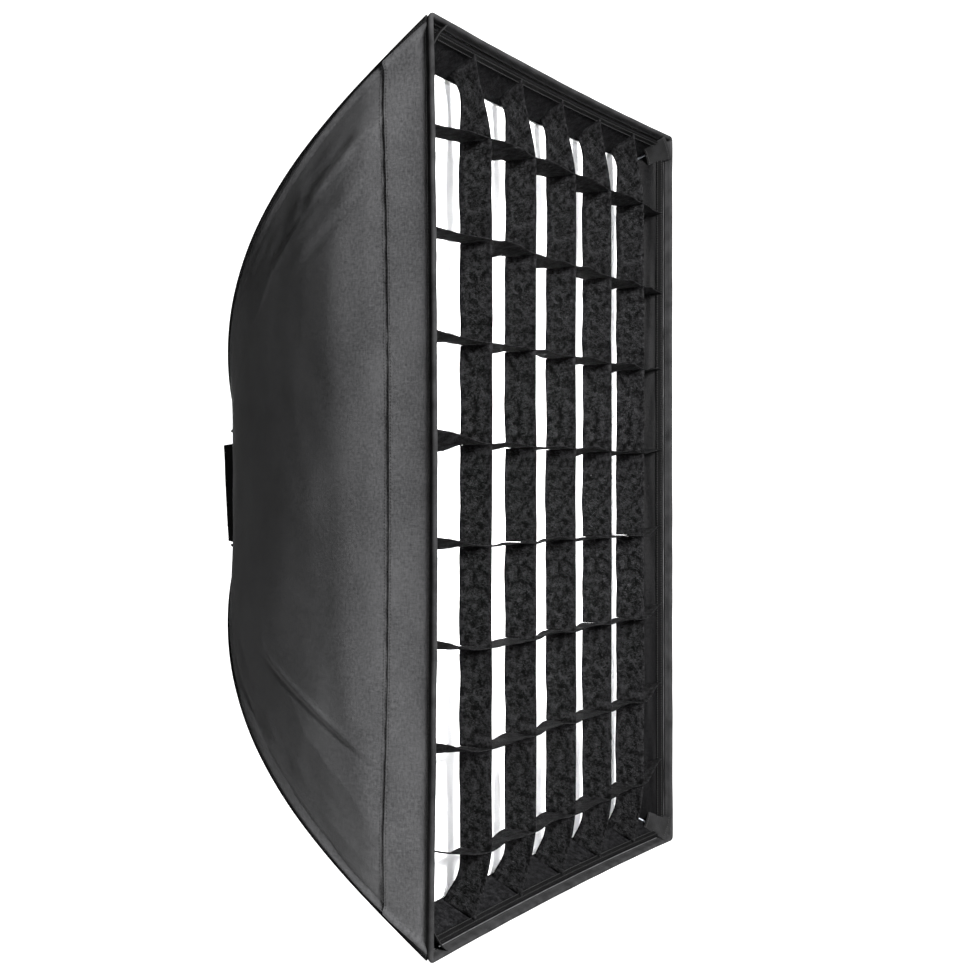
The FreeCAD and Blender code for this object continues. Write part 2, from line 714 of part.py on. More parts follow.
def make_pocket_patch(signs):
    """The webbing that holds a rod's end in the corner: a short plate just inside the rod."""
    s = D["patch_place"].value
    width, length = D["patch_width"].value, D["patch_length"].value
    centre = corner_point(s, D["rod_inset"].value + D["patch_inset"].value, signs)
    along = corner_direction(s, signs)
    inward = (corner_point(s, D["rod_inset"].value, signs) - corner_point(s, 0.0, signs)).normalize()
    across = along.cross(inward)
    plate = Part.makeBox(width, length, D["cloth"].value, Vector(-width / 2, -length / 2, 0))
    plate.Placement = Placement(centre, Rotation(across, along, inward, "ZYX"))
    return plate


# ---------------------------------------------------------------- fabric shell


def make_shell():
    """Panels, lips, corner seams, bindings and the loop tape inside the lips."""
    cloth = D["cloth"].value
    gap = D["corner_gap"].value
    lip_end = D["lip_length"].value
    for side in SIDES:
        panel = side_cloth(side, lip_end + D["seam_gap"].value, D["shell_end"].value, 0.0, cloth, gap, 9)
        keep_shape(f"{side}_panel", panel)
    for side in SIDES:
        keep_shape(f"{side}_lip", side_cloth(side, 0.0, lip_end, 0.0, cloth, gap, 4))
    seams = [tube_along(corner_path(3.0, D["shell_end"].value - 4.0, 0.0, signs), 1.5)
             for signs in CORNERS.values()]
    keep_shape("corner_seams", Part.makeCompound(seams))
    keep_shape("rim_binding", Part.makeCompound([rim_bar(side) for side in SIDES]))
    rear = side_group(D["shell_end"].value - 13.0, D["shell_end"].value - 1.0, -cloth - 0.3, cloth, gap, 3)
    keep_shape("rear_binding", rear)
    tape = D["tape_thickness"].value
    keep_shape("lip_tape", side_group(10.0, lip_end - 4.0, cloth + 0.2, tape, 30.0, 4))


def rim_bar(side):
    """The rolled binding along one edge of the rim."""
    radius = 2.0
    s = -radius - 0.7
    half = side_half(side, s) - 4.0
    spots = [side_point(side, s, v, D["cloth"].value / 2) for v in (-half, 0, half)]
    return tube_along(Part.Wire([Part.Arc(*spots).toShape()]), radius)


def flap_profile(root, turn):
    """The folded section of a closed flap: a leg beside the speedring and a tab turned in over it."""
    cloth = D["cloth"]
    back = -D["flap_top"]
    return [
        (root, -D["flap_root"]), (cloth + root, -D["flap_root"]), (turn + cloth, back),
        (D["flap_tab_end"], back), (D["flap_tab_end"], back - cloth), (turn, back - cloth),
    ]


def make_flap(side, root, length, shift):
    """One hook-and-loop flap, sewn to the shell's rear edge, with the tape under its tab."""
    turns = {"right": 0.0, "top": -90.0, "left": 180.0, "bottom": 90.0}
    turn = Placement(Vector(), Rotation(Vector(0, 1, 0), turns[side]))
    body = new_body(f"flap_{side}")
    section = new_sketch(body, "XY_Plane", shift)
    draw_outline(section, flap_profile(root, D["flap_turn"]))
    pad(body, section, length, middle=True)
    corner = new_sketch(body, "XZ_Plane", D["flap_top"] - D["cloth"])
    tab_half = D["flap_tab_length"] / 2
    for sign in (1, -1):
        near = tab_half * sign
        far = D["flap_length"] * sign
        draw_outline(corner, box_points(D["flap_tab_end"] - 5.0, near, D["flap_turn"], far))
    pocket(body, corner, D["cloth"] * 3.5, back=True)
    body.Placement = turn
    tape = new_body(f"flap_tape_{side}")
    strip = new_sketch(tape, "XY_Plane", 0.0)
    under = -D["flap_top"] - D["cloth"] - FACE_GAP
    margin = D["tape_margin"]
    strip_points = box_points(D["flap_tab_end"] + 0.5, under - D["cloth"], D["flap_turn"] - margin, under)
    draw_outline(strip, strip_points)
    pad(tape, strip, D["flap_tab_length"] - margin * 2, middle=True)
    tape.Placement = turn


def make_flaps():
    side_root = START + SHARE["x"] * corner_state(D["shell_end"].value)[0] - 0.4
    end_root = START + SHARE["z"] * corner_state(D["shell_end"].value)[0] - 0.4
    drop = D["flap_drop"]
    make_flap("left", side_root, D["flap_length"], drop)
    make_flap("right", side_root, D["flap_length"], -drop)
    make_flap("top", end_root, D["end_flap_length"], 0.0)
    make_flap("bottom", end_root, D["end_flap_length"], 0.0)


# ---------------------------------------------------------------- baffle, diffuser and grid


def bowed_outline(depth, inset, cut):
    """The outline of a flat sheet that follows the bowed lips at a depth, with its corners cut off."""
    y = depth - D["rim_depth"].value
    half = {axis: side_reach(side, side_reach(other, 0, depth, inset) * 0.97, depth, inset)
            for axis, side, other in (("x", "right", "top"), ("z", "top", "right"))}
    middle = {"x": side_reach("right", 0, depth, inset), "z": side_reach("top", 0, depth, inset)}
    edges = []
    corner_spots = []
    for sign_x, sign_z in ((1, 1), (-1, 1), (-1, -1), (1, -1)):
        on_side = Vector(sign_x * half["x"], y, sign_z * (half["z"] - cut))
        on_end = Vector(sign_x * (half["x"] - cut), y, sign_z * half["z"])
        corner_spots.append((on_side, on_end))
    middles = [Vector(0, y, middle["z"]), Vector(-middle["x"], y, 0),
               Vector(0, y, -middle["z"]), Vector(middle["x"], y, 0)]
    for i, (on_side, on_end) in enumerate(corner_spots):
        next_side, next_end = corner_spots[(i + 1) % 4]
        first, second = (on_side, on_end) if i % 2 == 0 else (on_end, on_side)
        target = next_end if i % 2 == 0 else next_side
        edges.append(Part.makeLine(first, second))
        edges.append(Part.Arc(second, middles[i], target).toShape())
    return Part.Wire(edges)


def make_diffuser():
    """The white front cloth, and the hook-tape border that holds it to the lips."""
    cloth = D["cloth"].value
    tape = D["tape_thickness"].value
    border_inset = cloth + tape + 0.4
    depth = D["diffuser_depth"].value
    sheet = bowed_outline(depth, border_inset + cloth + D["diffuser_gap"].value, D["diffuser_corner"].value)
    keep_shape("front_diffuser", Part.Face(sheet).extrude(Vector(0, 0.8, 0)))
    keep_shape("diffuser_border", side_group(69.0, 84.0, border_inset, cloth, 34.0, 3))


def make_baffle():
    """The inner baffle, its elastic straps and press studs, and the tabs on the panels."""
    width, height = D["baffle_half_width"], D["baffle_half_height"]
    body = new_body("inner_baffle")
    face = new_sketch(body, "XZ_Plane", D["rim_depth"] - D["baffle_depth"])
    draw_outline(face, box_points(-width, -height, width, height))
    pad(body, face, 0.8)
    cloth = D["cloth"].value
    straps, snaps, tabs, sockets = [], [], [], []
    places = [("right", 1, 200.0), ("right", 1, -200.0), ("left", -1, 200.0), ("left", -1, -200.0),
              ("top", 1, 120.0), ("top", 1, -120.0), ("bottom", -1, 120.0), ("bottom", -1, -120.0)]
    for side, sign, v in places:
        edge = (width if SIDES[side][0] == "x" else height).value
        behind = D["tab_behind"].value
        past = D["strap_past_stud"].value
        wall = side_reach(side, v, D["baffle_depth"].value + past, cloth) - cloth
        stud = wall - D["stud_place"].value
        straps.append(hanger(side, sign, v, edge + FACE_GAP, stud + past, 0.0, cloth))
        tabs.append(hanger(side, sign, v, stud - past, wall, behind, cloth))
        low, high = D["stud_height"].value, D["stud_cap_height"].value
        snaps.append(press_stud(side, sign, v, stud, -low - FACE_GAP, low))
        sockets.append(press_stud(side, sign, v, stud, behind - high - 2 * FACE_GAP, high))
    keep_shape("baffle_straps", Part.makeCompound(straps))
    keep_shape("baffle_snaps", Part.makeCompound(snaps))
    keep_shape("panel_tabs", Part.makeCompound(tabs))
    keep_shape("panel_snaps", Part.makeCompound(sockets))


def baffle_plane():
    return D["baffle_depth"].value - D["rim_depth"].value


def hanger(side, sign, v, inner, outer, behind, thickness):
    """A short flat strap that runs out from the baffle's edge towards a panel."""
    width = D["strap_width"].value
    length = outer - inner
    low = min(sign * inner, sign * outer)
    y = baffle_plane() + behind
    if SIDES[side][0] == "x":
        return Part.makeBox(length, thickness, width, Vector(low, y, v - width / 2))
    return Part.makeBox(width, thickness, length, Vector(v - width / 2, y, low))


def press_stud(side, sign, v, out, behind, height):
    """One half of a press stud, with its axis along the box."""
    y = baffle_plane() + behind
    spot = Vector(sign * out, y, v) if SIDES[side][0] == "x" else Vector(v, y, sign * out)
    return cylinder_along(spot, Vector(0, 1, 0), D["snap_radius"].value, height)


def strip_ends(side, v):
    """The half length of a strip at its front and rear edges, inside the border."""
    inset = D["cloth"].value * 2 + D["tape_thickness"].value + 0.4 + D["strip_end_gap"].value
    front = D["strip_front"].value
    rear = front + D["strip_depth"].value
    return side_reach(side, v, front, inset), side_reach(side, v, rear, inset)


def make_strip(label, upright, v, side, crossings, pitch):
    """One felt strip of the grid, with half-lap slots where it crosses the others."""
    front = D["strip_front"] - D["rim_depth"]
    rear = front + D["strip_depth"]
    middle = front + D["strip_depth"] / 2
    half_front, half_rear = strip_ends(side, v)
    body = new_body(label)
    role = "YZ_Plane" if upright else "XY_Plane"
    face = new_sketch(body, role, v)
    points = [(front, -half_front), (rear, -half_rear), (rear, half_rear), (front, half_front)]
    first = -pitch * (crossings - 1) / 2
    slot = D["slot_width"] / 2
    if upright:
        cut = box_points(middle - 0.1, slot + first, rear + 1.0, -slot + first)
    else:
        points = [(out, y) for y, out in points]
        cut = box_points(slot + first, front - 1.0, -slot + first, middle + 0.1)
    draw_outline(face, points)
    pad(body, face, D["strip_thickness"], middle=True)
    opening = new_sketch(body, role, v)
    draw_outline(opening, cut)
    notch = pocket(body, opening, 10.0, middle=True)
    pattern_along(body, notch, "Z_Axis" if upright else "X_Axis", crossings, pitch * (crossings - 1))


def make_grid():
    """The fabric grid: border, uprights and rows, woven together with half-lap slots."""
    cloth = D["cloth"].value
    keep_shape("grid_border", side_group(9.0, 50.0, cloth + D["tape_thickness"].value + 0.4, cloth, 34.0, 3))
    columns, rows = int(D["columns"].value), int(D["rows"].value)
    pitch = D["front_half_width"].value * 2 / columns
    for i in range(1, columns):
        make_strip(f"grid_upright_{i}", True, (i - columns / 2) * pitch, "top", rows - 1, pitch)
    for i in range(1, rows):
        make_strip(f"grid_row_{i}", False, (i - rows / 2) * pitch, "right", columns - 1, pitch)


# ---------------------------------------------------------------- build and write


def check_document():
    """Stop if any object failed, or any sub-part has no valid shape."""
    for item in doc.Objects:
        if {"Invalid", "Error"} & set(item.State):
            raise ValueError(f"{item.Label} is {item.State}")
    for item in subparts:
        if item.Shape.isNull() or not item.Shape.isValid() or not item.Shape.Solids:
            raise ValueError(f"{item.Label} has no valid solid")


def write_subparts():
    os.makedirs("parts", exist_ok=True)
    for item in subparts:
        item.Shape.exportStep(f"parts/{item.Label}.step")
        print(item.Label, len(item.Shape.Solids), round(item.Shape.Volume / 1000, 2), "cm3")
    print(len(subparts), "sub-parts")


make_insert()
make_keeper()
make_keeper_screws()
make_casting()
make_sockets()
for lock_name, (lock_x, lock_z) in lock_places().items():
    make_lock(lock_name, lock_x, lock_z)
make_rods()
make_shell()
make_flaps()
make_baffle()
make_diffuser()
make_grid()
doc.recompute()
check_document()
write_subparts()
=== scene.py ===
"""Looks of the rod-tensioned softbox: cloth, seams, felt grid and metal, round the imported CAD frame."""

import math

import bpy
import numpy as np
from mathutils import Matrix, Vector, noise


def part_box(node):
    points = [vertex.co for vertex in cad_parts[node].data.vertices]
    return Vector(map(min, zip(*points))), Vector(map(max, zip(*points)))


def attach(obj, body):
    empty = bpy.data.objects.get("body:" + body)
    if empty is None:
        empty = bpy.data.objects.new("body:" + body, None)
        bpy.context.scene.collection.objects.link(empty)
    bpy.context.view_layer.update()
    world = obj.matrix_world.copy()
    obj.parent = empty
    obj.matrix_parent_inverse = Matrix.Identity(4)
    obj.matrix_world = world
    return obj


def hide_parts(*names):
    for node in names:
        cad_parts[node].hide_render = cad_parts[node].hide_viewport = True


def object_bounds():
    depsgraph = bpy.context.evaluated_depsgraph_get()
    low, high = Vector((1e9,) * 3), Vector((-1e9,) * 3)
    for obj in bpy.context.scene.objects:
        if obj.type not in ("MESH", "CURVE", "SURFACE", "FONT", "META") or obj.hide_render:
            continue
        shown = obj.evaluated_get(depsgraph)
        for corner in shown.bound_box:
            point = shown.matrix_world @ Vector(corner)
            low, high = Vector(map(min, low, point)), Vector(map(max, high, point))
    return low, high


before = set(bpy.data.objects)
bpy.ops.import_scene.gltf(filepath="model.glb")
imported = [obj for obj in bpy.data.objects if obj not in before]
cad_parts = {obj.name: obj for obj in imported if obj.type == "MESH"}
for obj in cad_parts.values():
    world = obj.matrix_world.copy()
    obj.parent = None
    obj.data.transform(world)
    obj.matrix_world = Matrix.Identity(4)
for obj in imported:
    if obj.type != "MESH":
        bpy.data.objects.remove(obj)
cad_low, cad_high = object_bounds()

# ---------------- the shell's shape, in metres

RIM_DEPTH = 0.575
START = 0.058
FRONT = {"x": 0.400, "z": 0.600}
REACH = math.hypot(FRONT["x"] - START, FRONT["z"] - START)
SHARE = {axis: (FRONT[axis] - START) / REACH for axis in ("x", "z")}
ROD_LEAN = math.radians(60.9)
BEND_RATE = 2.66
ARC_COUNT = 6
ARC_LENGTH = 0.880 / ARC_COUNT
SEAM = 0.0892
SHELL_END = 0.846
SIDE_BOW = {"x": 0.007, "z": 0.008}
MID_BOW = 0.009
REAR_BOW = 0.0015
CLOTH = 0.0008
GRID_INSET = 0.0056
FELT_THICKNESS = 0.0011
SIDES = {"left": ("x", -1), "right": ("x", 1), "top": ("z", 1), "bottom": ("z", -1)}
CORNERS = {"upper_left": (-1, 1), "upper_right": (1, 1), "lower_left": (-1, -1), "lower_right": (1, -1)}
FIRST_CORNER = "upper_left"
OTHER = {"x": "z", "z": "x"}
NUMBER = {side: k for k, side in enumerate(SIDES)}


def corner_sides(signs):
    """The two sides that meet at a corner."""
    return "right" if signs[0] > 0 else "left", "top" if signs[1] > 0 else "bottom"


def corner_state(s):
    """Distance out, depth behind the rim, and lean, at a length along a corner line of tangent arcs."""
    out, depth, lean = REACH, 0.0, ROD_LEAN
    for i in range(ARC_COUNT):
        bend = BEND_RATE * (i + 0.5) * ARC_LENGTH
        step = s - i * ARC_LENGTH
        if i < ARC_COUNT - 1:
            step = min(step, ARC_LENGTH)
        after = lean - bend * step
        out += (math.sin(after) - math.sin(lean)) / bend
        depth += (math.cos(after) - math.cos(lean)) / bend
        lean = after
        if s <= (i + 1) * ARC_LENGTH:
            break
    return out, depth, lean


TRACK = np.linspace(-0.02, 0.88, 1801)
TRACK_STATE = np.array([corner_state(s) for s in TRACK])


def state(s):
    return [np.interp(s, TRACK, TRACK_STATE[:, i]) for i in range(3)]


def side_half(side, s):
    """Half of a panel's width at a length along its corners."""
    return START + SHARE[OTHER[SIDES[side][0]]] * state(s)[0]


def shell(side, s, v, inset=0.0):
    """Points of one side of the shell: s along the corners, v across, inset towards the inside."""
    axis, sign = SIDES[side]
    s, v, inset = np.broadcast_arrays(*(np.asarray(values, float) for values in (s, v, inset)))
    out, depth, lean = state(s)
    half = START + SHARE[OTHER[axis]] * out
    along = s / SHELL_END
    bow = SIDE_BOW[axis] * (1 - along) + REAR_BOW * along + MID_BOW * np.sin(np.pi * np.clip(along, 0, 1))
    inward = np.sin(lean)
    forward = np.cos(lean) * SHARE[axis]
    norm = np.hypot(inward, forward)
    pull = inset + bow * (1 - (v / half) ** 2)
    outward = sign * (START + SHARE[axis] * out - pull * inward / norm)
    y = depth - RIM_DEPTH - pull * forward / norm
    parts = (outward, y, v) if axis == "x" else (v, y, outward)
    return np.stack(parts, axis=-1)


def corner_meet(signs, s, inset):
    """The point where the two sides of a corner meet at an inset."""
    side_x, side_z = corner_sides(signs)
    a = shell(side_x, s, signs[1] * side_half(side_x, s), inset)
    b = shell(side_z, s, signs[0] * side_half(side_z, s), inset)
    return np.stack((a[..., 0], (a[..., 1] + b[..., 1]) / 2, b[..., 2]), axis=-1)


def reach_at(side, v, depth, inset):
    """How far out a side's inside is, at a place across it and a depth behind the rim."""
    s = np.linspace(-0.01, 0.5, 256)
    line = shell(side, s, v, inset)
    index = 0 if SIDES[side][0] == "x" else 2
    return float(np.interp(depth, line[:, 1] + RIM_DEPTH, np.abs(line[:, index])))


# ---------------- wrinkles

def bump(x, centre, width):
    return np.exp(-(((x - centre) / width) ** 2))


def smooth(x, low, high):
    t = np.clip((x - low) / (high - low), 0, 1)
    return t * t * (3 - 2 * t)


def smooth_noise(places, scale, seed):
    """Smooth noise from -1 to 1 at each place, given by two or three coordinates or arrays of them."""
    places = np.broadcast_arrays(*places)
    shift = Vector((seed * 7.31, seed * 3.17, seed * 1.93))
    rows = zip(*(axis.ravel() for axis in places))
    values = [noise.noise(Vector((*row, 0.0)[:3]) / scale + shift) for row in rows]
    return np.array(values).reshape(places[0].shape)


# Creases pressed into the cloth: from (s, v) to (s, v), depth and width.
CREASES = {
    "left": [
        ((0.470, -0.238), (0.100, -0.372), 0.0012, 0.0045),
        ((0.155, 0.468), (0.300, 0.405), 0.0026, 0.009),
        ((0.250, 0.395), (0.420, 0.330), 0.0018, 0.010),
        ((0.410, -0.372), (0.560, -0.292), 0.0016, 0.008),
        ((0.330, 0.300), (0.120, 0.395), 0.0012, 0.010),
    ],
    "right": [
        ((0.430, 0.260), (0.110, 0.380), 0.0020, 0.007),
        ((0.170, -0.460), (0.330, -0.395), 0.0022, 0.009),
        ((0.300, -0.120), (0.520, -0.060), 0.0010, 0.010),
    ],
    "top": [
        ((0.420, -0.140), (0.110, -0.235), 0.0018, 0.007),
        ((0.160, 0.275), (0.340, 0.220), 0.0020, 0.009),
        ((0.520, 0.060), (0.660, 0.020), 0.0012, 0.008),
    ],
    "bottom": [
        ((0.400, 0.150), (0.110, 0.245), 0.0020, 0.007),
        ((0.170, -0.270), (0.350, -0.205), 0.0020, 0.009),
    ],
}


def crease_lift(s, v, start, end, depth, width):
    """A fold line with a crest beside it, fading at both ends."""
    ds, dv = end[0] - start[0], end[1] - start[1]
    length = math.hypot(ds, dv)
    along = ((s - start[0]) * ds + (v - start[1]) * dv) / length**2
    across = ((s - start[0]) * dv - (v - start[1]) * ds) / length
    fade = smooth(along, -0.05, 0.25) * (1 - smooth(along, 0.75, 1.05))
    return fade * depth * (bump(across, width * 1.6, width * 1.4) - bump(across, 0, width))


def slow_wave(side, s, v):
    """The slow unevenness that both cloths of a side share."""
    return smooth_noise((s, v), 0.17, NUMBER[side] + 1)


# How far behind the rim the knee is at mid-side and at a corner, where the bend ends, and its height.
KNEE = 0.200
KNEE_AT_CORNER = 0.096
KNEE_END = 0.520
KNEE_LIFT = 0.0080
KNEE_ROUND = 0.011


def knee_lift(side, s, v):
    """The cloth stands straight from the rim to a soft knee, and bends inwards behind it.

    The knee runs forward towards both ends of the side, and sooner at its upper end."""
    edge = side_half(side, s) - np.abs(v)
    drift = 0.010 * slow_wave(side, s, v)
    reach = np.where(v > 0, smooth(edge, -0.05, 0.26), smooth(edge, 0.0, 0.40))
    knee = KNEE_AT_CORNER + (KNEE - KNEE_AT_CORNER) * reach + drift * reach
    tents = []
    for k in range(-2, 3):
        near = np.maximum(s + k * KNEE_ROUND, 0)
        fall = np.clip((near - knee) / (KNEE_END - knee), 0, 1)
        tents.append(np.where(near < knee, near / knee, (1 - fall) ** 2))
    level = np.clip(s / KNEE_ROUND / 2, 0, 1)
    return KNEE_LIFT * np.mean(tents, axis=0) * level * smooth(edge, 0.0, 0.009)


# At their seam the lip lies this far above the panel, whose edge is tucked this far under it.
LAP = 0.0015
TUCK = 0.008

# The cloth's height beside a rod, from the corner inwards: distance from the corner and height.
CORNER_FOLDS = {
    "upper": ((0.0, 0.0), (0.012, 0.0030), (0.022, 0.0004), (0.088, 0.0090), (0.098, 0.0076),
              (0.250, 0.0080)),
    "lower": ((0.0, 0.0), (0.004, 0.0028), (0.022, -0.0008), (0.026, 0.0002), (0.130, 0.0085),
              (0.250, 0.0080)),
}


def corner_fold(side, s, v):
    """Beside a rod the cloth rises to a ridge, falls to a valley, and climbs to a second crest."""
    uneven = smooth_noise((s, v), 0.055, NUMBER[side] + 11)
    place = (side_half(side, s) - np.abs(v)) / (0.75 + 1.0 * s) * (1 + 0.08 * uneven)
    upper, lower = [np.interp(place, *zip(*CORNER_FOLDS[end])) for end in ("upper", "lower")]
    fade = (0.15 + 0.85 * bump(s, 0.24, 0.18)) * smooth(s, 0.0, SEAM + 0.02)
    return np.where(v > 0, upper, lower) * fade


def panel_lift(side, s, v):
    """How far the cloth stands out from the plain shell."""
    edge = side_half(side, s) - np.abs(v)
    fine = smooth_noise((s, v), 0.055, NUMBER[side] + 11)
    ruck = smooth_noise((s * 0.35, edge), 0.022, NUMBER[side] + 21)
    lift = corner_fold(side, s, v) + knee_lift(side, s, v)
    lift += 0.0016 * slow_wave(side, s, v) * smooth(edge, 0.0, 0.08)
    lift += 0.0005 * fine * smooth(edge, 0.0, 0.04)
    lift += 0.0011 * ruck * bump(edge, 0.05, 0.045) * smooth(edge, 0.0, 0.012)
    for start, end, depth, width in CREASES[side]:
        lift += crease_lift(s, v, start, end, depth, width)
    behind_seam = s - SEAM
    pucker = np.sin(v / 0.0062 + 3 * fine) * (0.4 + 0.6 * np.abs(fine))
    lift += 0.0003 * pucker * bump(behind_seam, 0.006, 0.012)
    lift -= LAP * (1 - smooth(s, SEAM, SEAM + 0.05))
    lift *= smooth(SHELL_END - s, 0.0, 0.03) * 0.9 + 0.1
    return lift


def lip_lift(side, s, v):
    """The lip band in front of the seam is taut, with slight ripples and a groove at each of its edges."""
    edge = side_half(side, s) - np.abs(v)
    ripple = smooth_noise((s * 0.3, v), 0.035, NUMBER[side] + 31)
    lift = 0.0010 * ripple * np.sin(np.pi * np.clip(s / SEAM, 0, 1)) * smooth(edge, 0.0, 0.03)
    lift += 0.0022 * bump(edge, 0.009, 0.008) * smooth(edge, 0.0, 0.004)
    lift += 0.0003 * np.sin(v / 0.0066 + 2 * ripple) * bump(s, SEAM - 0.006, 0.010)
    return lift + corner_fold(side, s, v) + knee_lift(side, s, v)


def cloth_lift(side, s, v):
    """The lift of whichever of the two cloths is at s."""
    return np.where(s < SEAM, lip_lift(side, s, v), panel_lift(side, s, v))


# ---------------- building meshes

def add_mesh(name, verts, faces, uvs=None):
    mesh = bpy.data.meshes.new(name)
    mesh.from_pydata([tuple(p) for p in verts], [], faces)
    if uvs is not None:
        layer = mesh.uv_layers.new(name="cloth")
        order = np.array([loop.vertex_index for loop in mesh.loops])
        layer.data.foreach_set("uv", np.asarray(uvs, np.float32)[order].ravel())
    mesh.polygons.foreach_set("use_smooth", [True] * len(mesh.polygons))
    obj = bpy.data.objects.new(name, mesh)
    bpy.context.scene.collection.objects.link(obj)
    return obj


def sheet_faces(rows, columns, closed_rows=False, closed_columns=False, skip=None):
    """Quads of a grid of points, leaving out those that skip(row, column) picks."""
    faces = []
    for i in range(rows if closed_rows else rows - 1):
        for j in range(columns if closed_columns else columns - 1):
            if skip and skip(i, j):
                continue
            start, after = i * columns, (i + 1) % rows * columns
            next_j = (j + 1) % columns
            faces.append((start + j, start + next_j, after + next_j, after + j))
    return faces


def steps(points):
    """The distances between a line's points."""
    return np.linalg.norm(np.diff(points, axis=0), axis=1)


def run_of(points):
    """The length along a line at each of its points."""
    return np.append(0, np.cumsum(steps(points)))


def uv_of(u, v):
    return np.stack(np.broadcast_arrays(u, v), axis=-1)


def lengths_uv(points):
    """Texture coordinates in metres, measured along a grid's middle row and middle column."""
    rows, columns = points.shape[:2]
    return uv_of(*np.meshgrid(run_of(points[rows // 2]), run_of(points[:, columns // 2])))


def add_sheet(name, points, thickness=0.0, facing=None, uv=None, skip=None, closed=(False, False),
              lining=0):
    """A solid sheet from a grid of points, its front turned to a direction or away from the box's axis."""
    rows, columns = points.shape[:2]
    faces = sheet_faces(rows, columns, *closed, skip)
    i, j = rows // 2, columns // 2
    normal = np.cross(points[i, min(j + 1, columns - 1)] - points[i, max(j - 1, 0)],
                      points[min(i + 1, rows - 1), j] - points[max(i - 1, 0), j])
    outward = points[i, j] * (1, 0, 1) if facing is None else np.array(facing)
    if normal @ outward < 0:
        faces = [face[::-1] for face in faces]
    uvs = lengths_uv(points) if uv is None else uv
    obj = add_mesh(name, points.reshape(-1, 3), faces, uvs.reshape(-1, 2))
    if thickness:
        solid = obj.modifiers.new("thickness", "SOLIDIFY")
        solid.thickness = thickness
        solid.offset = -1
        solid.material_offset = lining
    return obj


def flat_size(points):
    """Width, length and area of a grid of points laid flat."""
    middle = points.shape[1] // 2
    width = max(steps(row).sum() for row in points)
    length = max(steps(points[:, j]).sum() for j in (0, middle))
    a = np.cross(points[:-1, 1:] - points[:-1, :-1], points[1:, :-1] - points[:-1, :-1])
    b = np.cross(points[1:, :-1] - points[1:, 1:], points[:-1, 1:] - points[1:, 1:])
    area = (np.linalg.norm(a, axis=-1).sum() + np.linalg.norm(b, axis=-1).sum()) / 2
    return (float(width), float(length)), float(min(area, width * length))


def finish_piece(obj, body, materials, replaces=()):
    for material in materials:
        obj.data.materials.append(material)
    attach(obj, body)
    if replaces:
        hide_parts(*replaces)
    return obj


def sheet_piece(name, points, thickness, body, slot, materials, replaces=(), **shape):
    return finish_piece(add_sheet(name, points, thickness, **shape), body, materials, replaces)


# One thread of a seam: its corners along, across and out of the cloth, and its faces.
STITCH_SHAPE = ((-0.5, 0, 0), (-0.2, 0.5, 0), (0, 0, 0.5), (-0.2, -0.5, 0), (0.5, 0, 0),
                (0.2, 0.5, 0.1), (0.2, -0.5, 0.1), (0, 0, -0.3))
STITCH_FACES = ((0, 1, 2), (0, 2, 3), (1, 5, 2), (3, 2, 6), (5, 4, 2), (6, 2, 4),
                (0, 7, 1), (0, 3, 7), (1, 7, 5), (3, 6, 7), (5, 7, 4), (6, 4, 7))


def unit(vectors):
    return vectors / np.maximum(np.linalg.norm(vectors, axis=1), 1e-9)[:, None]


SEAM_END_GAP = 0.004
STITCH_PITCH = 0.0042
STITCH_LENGTH = 0.0030
STITCH_WIDTH = 0.0009


def stitch_row(points, normals):
    """Vertices and faces of short threads along a line."""
    run = run_of(points)
    places = np.arange(STITCH_PITCH / 2, run[-1], STITCH_PITCH)

    def at(values, shift=0.0):
        return np.stack([np.interp(places + shift, run, values[:, k]) for k in range(3)], axis=-1)

    centres = at(points)
    along = unit(at(points, 0.001) - at(points, -0.001))
    up = unit(at(normals))
    side = np.cross(along, up)
    shape = np.array(STITCH_SHAPE) * (STITCH_LENGTH, STITCH_WIDTH, STITCH_WIDTH)
    verts = centres[:, None] + shape @ np.stack((along, side, up), axis=1)
    count = len(shape)
    faces = [tuple(k + i * count for k in face) for i in range(len(centres)) for face in STITCH_FACES]
    return verts.reshape(-1, 3), faces


def add_stitches(name, rows, body, material):
    """One piece made of several rows of stitches, each given as points and normals."""
    verts, faces, count = [], [], 0
    for points, normals in rows:
        row_verts, row_faces = stitch_row(points, normals)
        verts.append(row_verts)
        faces.extend(tuple(k + count for k in face) for face in row_faces)
        count += len(row_verts)
    obj = add_mesh(name, np.concatenate(verts), faces)
    return finish_piece(obj, body, [material])


def shell_line(side, s, lift_by):
    """A line across one side at s, standing on the cloth, and the way out from the shell along it."""
    half = float(side_half(side, s)) - SEAM_END_GAP
    v = np.linspace(-half, half, 160)
    lift = cloth_lift(side, s, v)
    base = shell(side, s, v, -lift - lift_by)
    return base, base - shell(side, s, v, -lift)


def repeated(direction, count):
    return np.tile(np.array(direction, float), (count, 1))


# ---------------- materials

